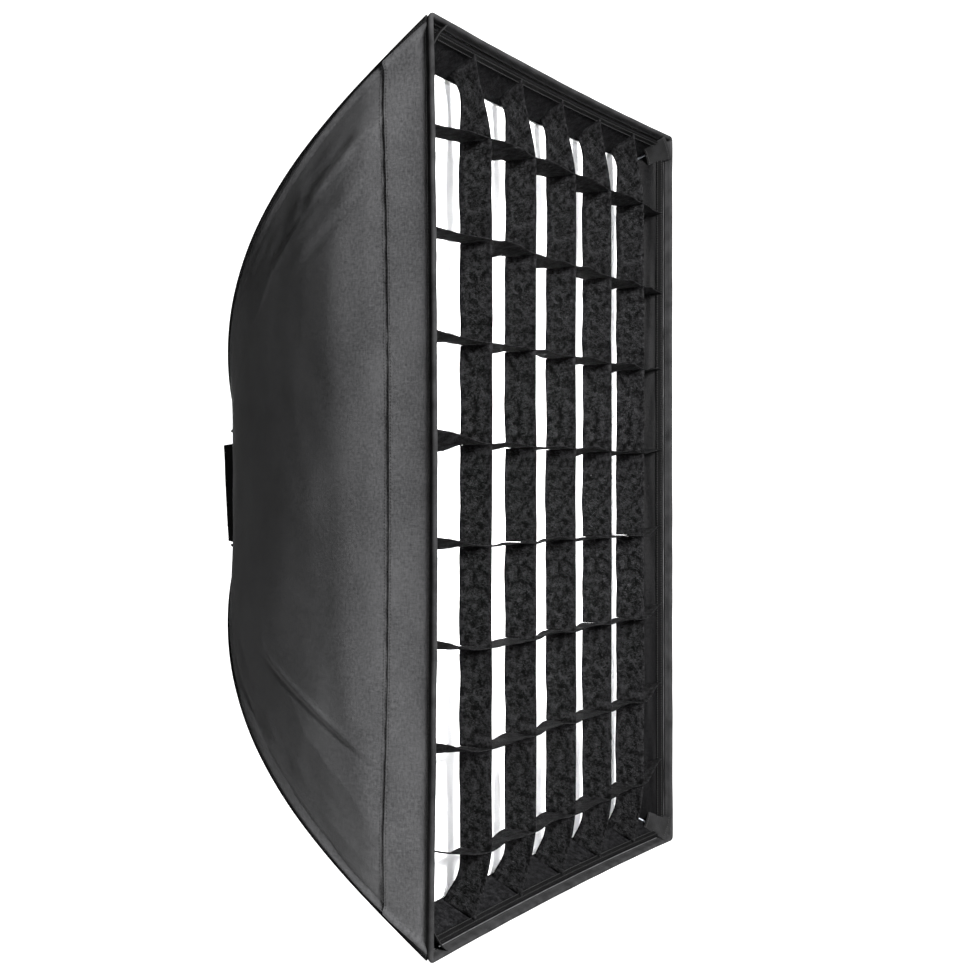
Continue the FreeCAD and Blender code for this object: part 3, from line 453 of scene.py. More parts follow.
class Nodes:
    """A short way to write a node material."""

    def __init__(self, name):
        self.material = bpy.data.materials.new(name)
        self.material.use_nodes = True
        self.tree = self.material.node_tree
        self.shader = self.tree.nodes["Principled BSDF"]

    def put(self, kind, *outputs, **inputs):
        """A node whose inputs are values or other nodes' sockets; other keywords set its properties."""
        node = self.tree.nodes.new(kind)
        for key, value in inputs.items():
            key = key.replace("_", " ")
            socket = node.inputs.get(key)
            if socket is None:
                setattr(node, key.replace(" ", "_"), value)
            else:
                self.feed(socket, value)
        return node.outputs[outputs[0]] if outputs else node

    def feed(self, socket, value):
        """Link another node's socket to a socket, or set its value."""
        if isinstance(value, bpy.types.NodeSocket):
            self.tree.links.new(value, socket)
        else:
            socket.default_value = value

    def math(self, operation, a, b=0.0):
        node = self.put("ShaderNodeMath", operation=operation)
        for socket, value in zip(node.inputs, (a, b)):
            self.feed(socket, value)
        return node.outputs[0]

    def place(self, uv=True, stretch=(1, 1, 1), turn=0.0):
        """Texture coordinates in metres, stretched and turned."""
        if uv:
            source = self.put("ShaderNodeUVMap", "UV", uv_map="cloth")
        else:
            source = self.put("ShaderNodeTexCoord", "Object")
        turned = (0, 0, turn)
        return self.put("ShaderNodeMapping", "Vector", Vector=source, Scale=stretch, Rotation=turned)

    def noise(self, place, scale, detail=2.0, rough=0.5, distortion=0.0):
        return self.put("ShaderNodeTexNoise", "Fac", Vector=place, Scale=scale, Detail=detail,
                        Roughness=rough, Distortion=distortion)

    def total(self, *parts):
        """The sum of sockets, each on its own or in a pair with its weight."""
        terms = [self.math("MULTIPLY", *part) if isinstance(part, tuple) else part for part in parts]
        result = terms[0]
        for term in terms[1:]:
            result = self.math("ADD", result, term)
        return result

    def waves(self, value, period):
        return self.math("SINE", self.math("MULTIPLY", value, 2 * math.pi / period))

    def ramp(self, value, low, high, start, end):
        """A value or colour that goes from start to end as another goes from low to high."""
        node = self.put("ShaderNodeValToRGB", Fac=value)
        node.color_ramp.elements[0].position = low
        node.color_ramp.elements[1].position = high
        for element, colour in zip(node.color_ramp.elements, (start, end)):
            element.color = (*colour, 1) if hasattr(colour, "__len__") else (colour, colour, colour, 1)
        return node.outputs["Color"]

    def bump(self, height, strength, distance):
        return self.put("ShaderNodeBump", "Normal", Height=height, Strength=strength, Distance=distance)

    def finish(self, colour, roughness, normal, **inputs):
        """Set the shader's colour, roughness and normal, and its other inputs by name."""
        inputs.update(Base_Color=colour, Roughness=roughness, Normal=normal)
        for key, value in inputs.items():
            self.feed(self.shader.inputs[key.replace("_", " ")], value)
        return self.material

    def mix_in(self, other, share):
        """Mix a share of another shader in."""
        mixed = self.put("ShaderNodeMixShader", "Shader", Fac=share)
        self.tree.links.new(self.shader.outputs["BSDF"], mixed.node.inputs[1])
        self.tree.links.new(other, mixed.node.inputs[2])
        self.tree.links.new(mixed, self.tree.nodes["Material Output"].inputs["Surface"])
        return self.material


def weave_height(nodes, period):
    """Height of a plain weave: warp and weft threads that cross over and under by turns."""
    split = nodes.put("ShaderNodeSeparateXYZ", Vector=nodes.place())
    return nodes.math("MULTIPLY", *(nodes.waves(split.outputs[k], 2 * period) for k in (0, 1)))


def woven(name, dark, light, rough=0.55, sheen=0.0, slub=0.35, grain=0.5, specular=0.4):
    """Woven cloth: thread pattern, uneven threads, slow colour change and slight soiling."""
    n = Nodes(name)
    weave = weave_height(n, 0.0007)
    warp_slub = n.noise(n.place(stretch=(1400, 60, 1)), 1.0, 3.0, 0.6)
    weft_slub = n.noise(n.place(stretch=(60, 1400, 1)), 1.0, 3.0, 0.6)
    threads = n.total(warp_slub, weft_slub)
    mottle = n.noise(n.place(), 210.0, 4.0, 0.65)
    patches = n.noise(n.place(), 7.0, 3.0, 0.5)
    patchy = 0.35
    contrast = 0.13
    tone = n.total((threads, slub), (mottle, grain), (patches, patchy))
    middle = (2 * slub + grain + patchy) / 2
    colour = n.ramp(tone, middle - contrast, middle + contrast, dark, light)
    height = n.total((weave, 0.5), n.total(threads, mottle))
    roughness = n.ramp(mottle, 0.3, 0.7, rough - 0.08, rough + 0.1)
    return n.finish(colour, roughness, n.bump(height, 0.45, 0.0004), Specular_IOR_Level=specular,
                    Sheen_Weight=sheen, Sheen_Roughness=0.4)


def felted(name, dark, light):
    """Pressed non-woven felt: tangled fibres, small pressed dimples and pale flecks."""
    n = Nodes(name)
    tangle = n.noise(n.place(), 420.0, 5.0, 0.7)
    curl = n.noise(n.place(stretch=(1, 0.45, 1), turn=0.6), 252.0, 4.0, 0.7, distortion=2.2)
    clumps = n.noise(n.place(), 95.0, 4.0, 0.65)
    dimples = n.put("ShaderNodeTexVoronoi", "Distance", Vector=n.place(), Scale=380.0)
    tone = n.total((curl, 0.55), (clumps, 0.6), (tangle, 0.3))
    colour = n.ramp(tone, 0.66, 0.88, dark, light)
    height = n.total((tangle, 0.8), n.total(curl, (dimples, 0.6)))
    return n.finish(colour, 0.95, n.bump(height, 0.8, 0.0009), Specular_IOR_Level=0.02)


def ribbed(name, dark, light, period=0.0011, rough=0.8):
    """Ribbon, webbing or elastic: ribs across the tape, with uneven threads."""
    n = Nodes(name)
    split = n.put("ShaderNodeSeparateXYZ", Vector=n.place())
    ribs = n.waves(split.outputs[0], period)
    rows = n.waves(split.outputs[1], period * 1.7)
    fuzz = n.noise(n.place(), 900.0, 3.0, 0.6)
    wear = n.noise(n.place(), 40.0, 3.0, 0.5)
    colour = n.ramp(n.total((fuzz, 0.5), (wear, 0.5)), 0.36, 0.66, dark, light)
    height = n.total((ribs, 0.5), n.total(fuzz, (rows, 0.2)))
    return n.finish(colour, rough, n.bump(height, 0.6, 0.0004), Specular_IOR_Level=0.05)


def hook_or_loop(name, dark, light, scale):
    """The face of hook or loop tape: a field of tiny tufts, with painted shade in the gaps between them."""
    n = Nodes(name)
    tufts = n.put("ShaderNodeTexVoronoi", "Distance", Vector=n.place(), Scale=scale)
    fuzz = n.noise(n.place(), scale * 1.7, 4.0, 0.7)
    # Painted shade: the tape is coloured darker in the low gaps between the tufts and lighter on their
    # raised tops.
    colour = n.ramp(n.total(tufts, (fuzz, 0.5)), 0.35, 0.9, light, dark)
    height = n.math("SUBTRACT", fuzz, tufts)
    return n.finish(colour, 0.9, n.bump(height, 0.9, 0.0012), Specular_IOR_Level=0.03)


def lit_cloth(name, tint, shade):
    """White diffusing nylon: fine weave, faint cloudy weight, and light that comes through it."""
    n = Nodes(name)
    weave = weave_height(n, 0.0006)
    cloud = n.noise(n.place(), 26.0, 4.0, 0.55)
    fine = n.noise(n.place(), 600.0, 3.0, 0.6)
    colour = n.ramp(n.total((cloud, 0.6), (fine, 0.4)), 0.3, 0.7, shade, tint)
    normal = n.bump(n.total(weave, fine), 0.25, 0.0003)
    n.finish(colour, 0.75, normal, Specular_IOR_Level=0.25, Sheen_Weight=0.15)
    return n.mix_in(n.put("ShaderNodeBsdfTranslucent", "BSDF", Color=colour, Normal=normal), 0.5)


def silvered(name):
    """Reflective silver lining: a metallised film laminated on woven cloth, slightly crazed."""
    n = Nodes(name)
    weave = weave_height(n, 0.0008)
    crease = n.put("ShaderNodeTexVoronoi", "Distance", Vector=n.place(), Scale=45.0,
                   feature="DISTANCE_TO_EDGE")
    cloud = n.noise(n.place(), 60.0, 4.0, 0.6)
    colour = n.ramp(cloud, 0.3, 0.7, (0.55, 0.56, 0.57), (0.78, 0.79, 0.80))
    rough = n.ramp(cloud, 0.3, 0.7, 0.28, 0.46)
    height = n.total((weave, 0.3), n.total(cloud, (crease, 0.4)))
    return n.finish(colour, rough, n.bump(height, 0.5, 0.0010), Metallic=0.85)


def metal(name, colour, rough, grain=(600, 600, 600), bump=0.15, spots=0.0, worn=None):
    """Bare or plated metal, with grain, smudges and small pits."""
    n = Nodes(name)
    place = n.place(uv=False, stretch=grain)
    lines = n.noise(place, 1.0, 4.0, 0.6)
    smudge = n.noise(n.place(uv=False), 45.0, 4.0, 0.6)
    pits = n.noise(n.place(uv=False), 900.0, 3.0, 0.7)
    low = tuple(c * 0.72 for c in colour)
    tone = n.total((lines, 0.4), (smudge, 0.6))
    shade = n.ramp(tone, 0.35, 0.65, low, worn or colour)
    roughness = n.ramp(tone, 0.3, 0.7, max(rough - 0.1, 0.05), min(rough + 0.14, 1.0))
    height = n.total(lines, (pits, spots))
    return n.finish(shade, roughness, n.bump(height, bump, 0.0004), Metallic=1.0)


def coated(name, dark, light, rough, texture=1100.0, bump=0.5):
    """Powder coat, vinyl or moulded plastic: fine orange peel and a dusty bloom."""
    n = Nodes(name)
    peel = n.noise(n.place(uv=False), texture, 3.0, 0.55)
    bloom = n.noise(n.place(uv=False), 55.0, 4.0, 0.6)
    colour = n.ramp(n.total((peel, 0.3), (bloom, 0.7)), 0.35, 0.7, dark, light)
    roughness = n.ramp(bloom, 0.3, 0.7, rough - 0.07, rough + 0.1)
    return n.finish(colour, roughness, n.bump(peel, bump, 0.0003), Specular_IOR_Level=0.45)


NYLON = woven("black_nylon_cloth", (0.020, 0.020, 0.021), (0.062, 0.062, 0.064), rough=0.50, sheen=0.05)
SATIN = woven("black_lining_satin", 0.0003, (0.0022, 0.0022, 0.0024), rough=0.42, grain=0.35, specular=0.04)
FLAP_CLOTH = woven("black_flap_cloth", 0.0008, (0.004, 0.004, 0.0042), specular=0.1)
SILVER = silvered("silver_lining")
FELT = felted("black_grid_felt", 0.0005, (0.0115, 0.0115, 0.0120))
FELT_BAND = felted("black_border_felt", (0.0010, 0.0010, 0.0011), (0.0075, 0.0075, 0.008))
BINDING = ribbed("black_grosgrain", (0.003, 0.003, 0.0031), (0.017, 0.017, 0.0175))
HEM = ribbed("black_hem_tape", 0.0002, (0.0012, 0.0012, 0.0013))
WEBBING = ribbed("black_webbing", 0.002, (0.010, 0.010, 0.0103), period=0.0018)
ELASTIC = ribbed("white_elastic", (0.62, 0.62, 0.60), (0.86, 0.86, 0.84), period=0.0014)
WHITE_TAPE = ribbed("white_hem_tape", (0.66, 0.66, 0.65), (0.88, 0.88, 0.87))
THREAD = ribbed("black_thread", 0.010, 0.040, period=0.0008, rough=0.5)
WHITE_THREAD = ribbed("white_thread", (0.70, 0.70, 0.69), (0.92, 0.92, 0.91), period=0.0008, rough=0.6)
LOOP = hook_or_loop("black_loop_tape", 0.0008, (0.005, 0.005, 0.0052), 700.0)
HOOK = hook_or_loop("black_hook_tape", 0.005, (0.028, 0.028, 0.029), 1100.0)
DIFFUSER = lit_cloth("white_diffuser_nylon", 0.93, (0.88, 0.88, 0.885))
BAFFLE = lit_cloth("white_baffle_nylon", 0.90, (0.83, 0.83, 0.835))

CAD_FINISHES = {
    "cast_alloy": metal("cast_alloy_finish", (0.62, 0.63, 0.64), 0.38, spots=0.6, bump=0.25),
    "cast_black": coated("black_powder_coat", (0.010, 0.010, 0.011), (0.026, 0.026, 0.028), 0.48),
    "dark_screw": metal("black_oxide_screw", (0.05, 0.05, 0.055), 0.42, spots=0.4,
                        worn=(0.12, 0.12, 0.125)),
    "zinc": metal("zinc_plate", (0.66, 0.67, 0.70), 0.32, spots=0.3),
    "steel": metal("turned_steel", (0.58, 0.58, 0.59), 0.26, grain=(120, 2400, 120)),
    "spring_steel": metal("blued_spring_steel", (0.20, 0.21, 0.23), 0.30, grain=(200, 1500, 200)),
    "vinyl": coated("black_vinyl", 0.010, 0.022, 0.35, texture=500.0, bump=0.2),
    "nickel": metal("nickel_stud", (0.70, 0.69, 0.66), 0.20, bump=0.08),
    "knob_plastic": coated("moulded_knob", (0.012, 0.012, 0.013), (0.028, 0.028, 0.030), 0.40,
                           texture=1800.0, bump=0.35),
}


def finish_cad_nodes():
    """Give every CAD node that stays its finish, from its record's material slot."""
    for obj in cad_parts.values():
        for index, slot in enumerate(obj.material_slots):
            name = slot.material.name.split(".")[0] if slot.material else ""
            if name in CAD_FINISHES:
                obj.material_slots[index].material = CAD_FINISHES[name]


# ---------------- shell cloth

def spread(count, gather):
    """Places from -1 to 1, gathered towards both ends."""
    u = np.linspace(-1, 1, count)
    return (1 - gather) * u + gather * np.sin(u * np.pi / 2)


def turn(start, end, aim, share):
    """A curve from start to end that heads for aim between them."""
    return (1 - share) ** 2 * start + 2 * share * (1 - share) * aim + share**2 * end


# Rows of points beside a seam, so that its edge is crisp.
BESIDE_SEAM = (-0.006, -0.0035, -0.0022, -0.0012, 0.0, 0.0012, 0.0022, 0.0035, 0.006)


def rows_with_seam(low, high, pitch):
    """Rows at an even pitch, with closer ones beside the lip's seam."""
    rows = [*np.linspace(low, high, int((high - low) / pitch) + 1), *(SEAM + k for k in BESIDE_SEAM)]
    rows = sorted(r for r in rows if low <= r <= high)
    return np.array([r for i, r in enumerate(rows) if i == 0 or r - rows[i - 1] > 0.0005])


# Points across a side's cloth, and the gap from its edge to the corner.
SHELL_COLUMNS = {"x": 290, "z": 190}
EDGE_GAP = 0.0008
# How far the lip reaches past the seam, and where its rows of stitches are.
OVERHANG = 0.0006
SEAM_STITCHES = (-0.0042, 0.0042, 0.0095)


def shell_sheet(side, part, low, high, pitch, lift, materials):
    """One cloth of the shell as a single continuous curved sheet."""
    s = rows_with_seam(low, high, pitch)[:, None]
    v = spread(SHELL_COLUMNS[SIDES[side][0]], 0.65) * (side_half(side, s) - EDGE_GAP)
    points = shell(side, s, v, -lift(side, s, v))
    obj = add_sheet(f"{side}_{part}_cloth", points, CLOTH, uv=uv_of(v, s), lining=len(materials) - 1)
    finish_piece(obj, "box", materials, [f"{side}_{part}"])
    return obj, flat_size(shell(side, s, v))


def make_shell():
    for side in SIDES:
        lip, lip_size = shell_sheet(side, "lip", 0.0, SEAM + OVERHANG, 0.007, lip_lift, [NYLON])
        panel, panel_size = shell_sheet(side, "panel", SEAM - TUCK, SHELL_END, 0.0065, panel_lift,
                                        [NYLON, SILVER])
        rows = [shell_line(side, SEAM + offset, 0.0002) for offset in SEAM_STITCHES]
        stitches = add_stitches(f"{side}_seam_stitches", rows, "box", THREAD)


# Half of a corner seam's section, from its edge inwards: distance from the corner, and inset.
SEAM_SECTION = ((0.0056, 0.0004), (0.0052, -0.0006), (0.0030, -0.0009), (0.0012, -0.0012))


def corner_strip(signs, s):
    """Points across a corner seam: from one side's cloth, over the seam, to the other's."""
    flanks = []
    for side, sign in zip(corner_sides(signs), signs[::-1]):
        flank = []
        for width, inset in SEAM_SECTION:
            v = sign * (side_half(side, s) - width)
            flank.append(shell(side, s, v, inset - cloth_lift(side, s, v)))
        flanks.append(flank)
    before, after = flanks[0], flanks[1][::-1]
    first, middle, last = [corner_meet(signs, s, inset) for inset in (-0.0016, -0.0026, -0.0016)]
    first = first + (before[-1] - first) * 0.35
    last = last + (after[0] - last) * 0.35
    return np.stack([*before, first, middle, last, *after], axis=1)


def make_corner_seams():
    """The bound seam over each rod, with its stitches on both sides."""
    s = np.linspace(SEAM_END_GAP, SHELL_END - SEAM_END_GAP, 150)
    for name, signs in CORNERS.items():
        points = corner_strip(signs, s)
        replaced = ["corner_seams"] if name == FIRST_CORNER else ()
        obj = sheet_piece(f"corner_seam_{name}", points, CLOTH, "box", "black_binding", [BINDING], replaced,
                          facing=(signs[0], 0.0, signs[1]))
        outward = repeated((signs[0], 0.3, signs[1]), len(s))
        rows = [(points[:, k] + outward * 0.0001, outward) for k in (2, points.shape[1] - 3)]
        stitches = add_stitches(f"corner_stitches_{name}", rows, "box", THREAD)


# How far short of each corner the rim's straight stretches end.
RIM_CORNER = 0.007


def loop_round(profile):
    """A closed band round the rim, from a profile of (s, inset).

    Along each side it follows the bowed shell, and at each corner it turns in a smooth curve."""
    order = [("right", 1, (1, 1)), ("top", -1, (-1, 1)), ("left", -1, (-1, -1)), ("bottom", 1, (1, -1))]
    bands = []
    for side, direction, _ in order:
        band = []
        for s, inset in profile:
            half = float(side_half(side, s)) - RIM_CORNER
            band.append(shell(side, s, direction * np.linspace(-half, half, 90), inset))
        bands.append(np.stack(band))
    pieces = []
    share = np.linspace(0, 1, 8)[1:-1, None]
    for band, following, (_, _, corner) in zip(bands, bands[1:] + bands[:1], order):
        turns = []
        for row, (s, inset) in enumerate(profile):
            turns.append(turn(band[row, -1], following[row, 0], corner_meet(corner, s, inset), share))
        pieces += [band, np.stack(turns)]
    return np.concatenate(pieces, axis=1)


# The rolled rim's section: distance behind the rim, and inset.
RIM_PROFILE = ((0.0105, 0.0000), (0.0100, -0.0012), (0.0070, -0.0017), (0.0035, -0.0021),
               (0.0005, -0.0030), (-0.0022, -0.0032), (-0.0044, -0.0020), (-0.0053, 0.0002),
               (-0.0046, 0.0026), (-0.0024, 0.0040), (0.0005, 0.0038), (0.0035, 0.0028),
               (0.0070, 0.0025), (0.0100, 0.0021), (0.0105, 0.0010))


def make_rim():
    """The rolled binding round the rim, stitched through all its layers."""
    points = loop_round(RIM_PROFILE)
    points[..., 1] += 0.0007 * smooth_noise(np.moveaxis(points[:1], -1, 0), 0.05, 51)
    obj = sheet_piece("rim_binding_roll", points, 0.0, "box", "black_binding", [BINDING], ["rim_binding"],
                      closed=(True, True))
    rows = []
    for inset, sense in ((-0.0019, 1), (0.0027, -1)):
        line = loop_round([(0.0078, inset), (0.0078, inset - 0.001 * sense)])
        rows.append((line[0], line[1] - line[0]))
    stitches = add_stitches("rim_stitches", rows, "box", THREAD)


# The rear tape's section: distance behind the shell's rear edge, and inset.
REAR_PROFILE = ((-0.0140, -0.0003), (-0.0135, -0.0014), (-0.0060, -0.0018), (0.0005, -0.0016),
                (0.0016, 0.0004), (0.0005, 0.0022), (-0.0060, 0.0022), (-0.0135, 0.0019),
                (-0.0140, 0.0010))


def make_rear_binding():
    """The tape folded over the shell's rear edge."""
    for side in SIDES:
        half = float(side_half(side, SHELL_END)) - 0.001
        v = np.linspace(-half, half, 30)
        points = np.stack([shell(side, SHELL_END + s, v, inset) for s, inset in REAR_PROFILE])
        replaced = ["rear_binding"] if side == "left" else ()
        obj = sheet_piece(f"{side}_rear_binding", points, 0.0, "box", "black_binding", [BINDING], replaced,
                          closed=(True, False))
        base, below = [shell(side, SHELL_END - 0.008, v, inset) for inset in (-0.0021, -0.0010)]
        stitches = add_stitches(f"{side}_rear_stitches", [(base, base - below)], "box", THREAD)


# Tapes inside each lip: from and to along the corners, inset, cut at both ends, thickness, body, slot,
# seed, unevenness, rows and columns.
BANDS = {
    "loop_tape": ((0.012, 0.084), 0.0026, 0.030, 0.0012, "box", "loop_tape", 60, 0.0002, 8, 120),
    "diffuser_hem": ((0.0685, 0.084), 0.0042, 0.030, 0.0010, "diffuser", "white_tape", 80, 0.0003, 8, 120),
    "grid_border": ((0.0125, 0.0765), GRID_INSET, 0.006, FELT_THICKNESS, "grid", "black_felt", 150, 0.0006,
                    22, 170),
    "grid_hem": ((0.0125, 0.0245), 0.0070, 0.008, 0.0008, "grid", "black_binding", 160, 0.0004, 8, 120),
}
CRUMPLED = 0.0016


def inner_band(side, kind, material, replaced=None):
    """A flat tape that lies against the inside of one lip. The left one replaces the CAD node.

    Satin ones are crumpled, with wrinkles that run along them."""
    span, inset, end_cut, thickness, body, slot, seed, uneven, rows, columns = BANDS[kind]
    s = np.linspace(*span, rows)[:, None]
    v = spread(columns, 0.1) * (side_half(side, s) - end_cut)
    places = (s * 0.4, v)
    if material == SATIN:
        uneven = CRUMPLED
        places = (s * 2.2, v * 0.3)
    points = shell(side, s, v, inset + uneven * smooth_noise(places, 0.03, seed + NUMBER[side]))
    facing = shell(side, span[0], 0.0, 0.1) - shell(side, span[0], 0.0, 0.0)
    obj = add_sheet(f"{side}_{kind}", points, thickness, facing, uv_of(v, s))
    finish_piece(obj, body, [material], [replaced] if replaced and side == "left" else ())
    return obj, flat_size(points)


def make_lip_tape():
    """Loop tape sewn inside each lip, which holds the diffuser and the grid."""
    for side in SIDES:
        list(inner_band(side, "loop_tape", LOOP, "lip_tape"))


def make_corner_pockets():
    """A gusset across each corner just behind the rim, which holds the rod's capped end."""
    for name, signs in CORNERS.items():
        s = np.linspace(-0.003, 0.041, 12)
        width = 0.038 - 0.2 * (s + 0.003)
        a, b = [shell(side, s, sign * (side_half(side, s) - width), 0.0048)[:, None]
                for side, sign in zip(corner_sides(signs), signs[::-1])]
        aim = (a + b + 2 * corner_meet(signs, s, 0.014)[:, None]) / 4
        points = turn(a, b, aim, np.linspace(0, 1, 13)[None, :, None])
        replaced = ["corner_pockets"] if name == FIRST_CORNER else ()
        obj = sheet_piece(f"corner_pocket_{name}", points, 0.0012, "box", "webbing", [WEBBING], replaced,
                          facing=(-signs[0], 0.0, -signs[1]))
        inward = repeated((-signs[0], -0.2, -signs[1]), 13)
        rows = [(points[k] + inward * 0.0003, inward) for k in (1, 10)]
        stitches = add_stitches(f"corner_pocket_stitches_{name}", rows, "box", THREAD)


# ---------------- diffuser and baffle

def make_diffuser():
    """The white front cloth, stretched between the lips, with its hem of white tape."""
    low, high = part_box("front_diffuser")
    y = (low.y + high.y) / 2
    depth = y + RIM_DEPTH
    corner_cut = 0.014
    inset = 0.0045
    top = reach_at("top", 0.0, depth, inset)
    corner_top = reach_at("top", 0.34, depth, inset)
    corner_side = reach_at("right", 0.54, depth, inset)
    u = spread(100, 0.2)
    w = spread(150, 0.2)[:, None]
    z = w * (top + (corner_top - top) * u**2)
    half = [[reach_at("right", abs(k) * 0.97 * corner_top, depth, inset)] for k in w[:, 0]]
    trim = np.clip(np.abs(w) * corner_top - (corner_top - corner_cut), 0, corner_cut)
    x = u * (np.array(half) - trim)
    edge = np.minimum(np.abs(np.abs(x) - corner_side), np.abs(np.abs(z) - corner_top))
    folds = smooth_noise((x, z * 0.16), 0.028, 71) * (0.25 + bump(np.abs(z), corner_top, 0.17))
    give = (0.0004 * folds + 0.0006 * smooth_noise((x, z * 0.6), 0.12, 72)) * smooth(edge, 0.0, 0.03)
    points = np.stack((x, y - give, z), axis=-1)
    obj = sheet_piece("diffuser_cloth", points, 0.0005, "diffuser", "white_nylon", [DIFFUSER],
                      ["front_diffuser"], facing=(0, -1, 0))
    for side in SIDES:
        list(inner_band(side, "diffuser_hem", WHITE_TAPE, "diffuser_border"))


def make_baffle():
    """The inner baffle: a hemmed white cloth on eight elastic straps with press studs."""
    low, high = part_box("inner_baffle")
    u = spread(60, 0.1)
    w = spread(90, 0.1)[:, None]
    pull_x = 1 - bump(w * high.z, 0.2, 0.07) - bump(w * high.z, -0.2, 0.07)
    pull_z = 1 - bump(u * high.x, 0.12, 0.06) - bump(u * high.x, -0.12, 0.06)
    x = u * (high.x - 0.006 * pull_x)
    z = w * (high.z - 0.006 * pull_z)
    sag = 0.0025 * smooth_noise((x, z), 0.13, 91) * (1 - np.abs(u * w))
    points = np.stack((x, (low.y + high.y) / 2 + sag, z), axis=-1)
    obj = sheet_piece("baffle_cloth", points, 0.0005, "baffle", "white_nylon", [BAFFLE], ["inner_baffle"],
                      facing=(0, -1, 0))
    hem_rows = []
    ahead = np.array([[0, -1, 0]])
    for name, line, inner in (("left", points[:, 0], points[:, 2]), ("right", points[:, -1], points[:, -3]),
                              ("bottom", points[0], points[2]), ("top", points[-1], points[-3])):
        toward = unit(inner - line)
        section = ((-0.0006, 0.0), (0.0, 0.0012), (0.011, 0.0013), (0.012, 0.0004))
        across = np.stack([line + toward * inwards + ahead * forward for inwards, forward in section])
        sheet_piece(f"baffle_hem_{name}", across, 0.0005, "baffle", "white_tape", [WHITE_TAPE],
                                facing=(0, -1, 0))
        hem_rows.append((line + toward * 0.008 + ahead * 0.0018, repeated((0, -1, 0), len(line))))
    add_stitches("baffle_hem_stitches", hem_rows, "baffle", WHITE_THREAD)


STRAP_WIDTH = 0.020


def strap_strip(name, near, far, across, face, thickness):
    """A flat strap between two points, slightly waisted and cupped."""
    near, far, across, face = (np.array(values, float) for values in (near, far, across, face))
    t = np.linspace(0, 1, 12)[:, None, None]
    u = np.linspace(-1, 1, 9)[None, :, None]
    waist = 1 - 0.10 * np.sin(np.pi * t)
    cup = 0.0006 * (1 - u**2) * np.sin(np.pi * t)
    points = near + (far - near) * t + across * u * waist * STRAP_WIDTH / 2 + face * cup
    return add_sheet(name, points, thickness, facing=face), flat_size(points)


def make_straps():
    """Elastic straps on the baffle and webbing tabs on the panels, each pair joined by a press stud."""
    strap_low, strap_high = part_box("baffle_straps")
    baffle_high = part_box("inner_baffle")[1]
    tab_low, tab_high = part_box("panel_tabs")
    strap_y = strap_low.y + 0.0002
    tab_y = tab_low.y
    reaches = {"right": 0.200, "left": 0.200, "top": 0.120, "bottom": 0.120}
    places = [(side, v * way) for side, v in reaches.items() for way in (1, -1)]
    for k, (side, v) in enumerate(places):
        axis, sign = SIDES[side]
        index = 0 if axis == "x" else 2
        inner, outer, wall = [high[index] for high in (baffle_high, strap_high, tab_high)]
        across = (0, 0, 1) if axis == "x" else (1, 0, 0)

        def spot(out, y):
            return (sign * out, y, v) if axis == "x" else (v, y, sign * out)

        strap, strap_size = strap_strip(f"baffle_strap_{k + 1}", spot(inner - 0.006, strap_y),
                                        spot(outer, strap_y), across, (0, -1, 0), 0.0012)
        tab, tab_size = strap_strip(f"panel_tab_{k + 1}", spot(outer - 0.016, tab_y),
                                    spot(wall + 0.0005, tab_y), across, (0, 1, 0), 0.0010)
        first = k == 0
        finish_piece(strap, "baffle", [ELASTIC], ["baffle_straps"] if first else ())
        finish_piece(tab, "box", [WEBBING], ["panel_tabs"] if first else ())


# ---------------- grid

GRID_FRONT = 0.008
REAR_NARROWER = 0.022
STRIP_DEPTH = 0.050
PITCH = FRONT["x"] / 3
COLUMNS = 6
ROWS = 9
ROW_DROOP = 0.016
# Half of a slot's width, where two strips lace.
SLOT = 0.0012


def grid_shift(points, share):
    """How the grid hangs: its middle bulges forward, and it sags more towards the bottom.

    The share is 0 at the strips' front edges and 1 at their rear edges, which pull forward sooner."""
    x, z = points[..., 0], points[..., 2]
    edge_x = FRONT["x"] - 0.010 - np.abs(x)
    edge_z = FRONT["z"] - 0.010 - np.abs(z)
    front = smooth(edge_x, 0.0, 0.13) * smooth(edge_z, 0.0, 0.14)
    inner_x = edge_x - REAR_NARROWER
    inner_z = edge_z - REAR_NARROWER
    top = 1 - (1 - np.clip(inner_z / 0.045, 0, 1)) ** 2
    bottom = smooth(inner_z, 0.004, 0.085)
    rear = smooth(inner_x, 0.0, 0.07) * np.where(z > 0, top, bottom)
    forward = (0.0210 - 0.016 * x) * (front * (1 - share) + rear * share)
    settle = smooth(edge_x, 0.0, 0.10) * smooth(edge_z, 0.0, 0.10)
    drift_x = 0.0030 * smooth_noise((x, z), 0.19, 101) * settle
    drift_z = (0.0020 * smooth_noise((x, z), 0.17, 102) - 0.0100 * (1 - z / 0.46)) * settle
    return np.stack((drift_x, -forward, drift_z), axis=-1)


def crossings(count):
    return [(i - count / 2) * PITCH for i in range(1, count)]


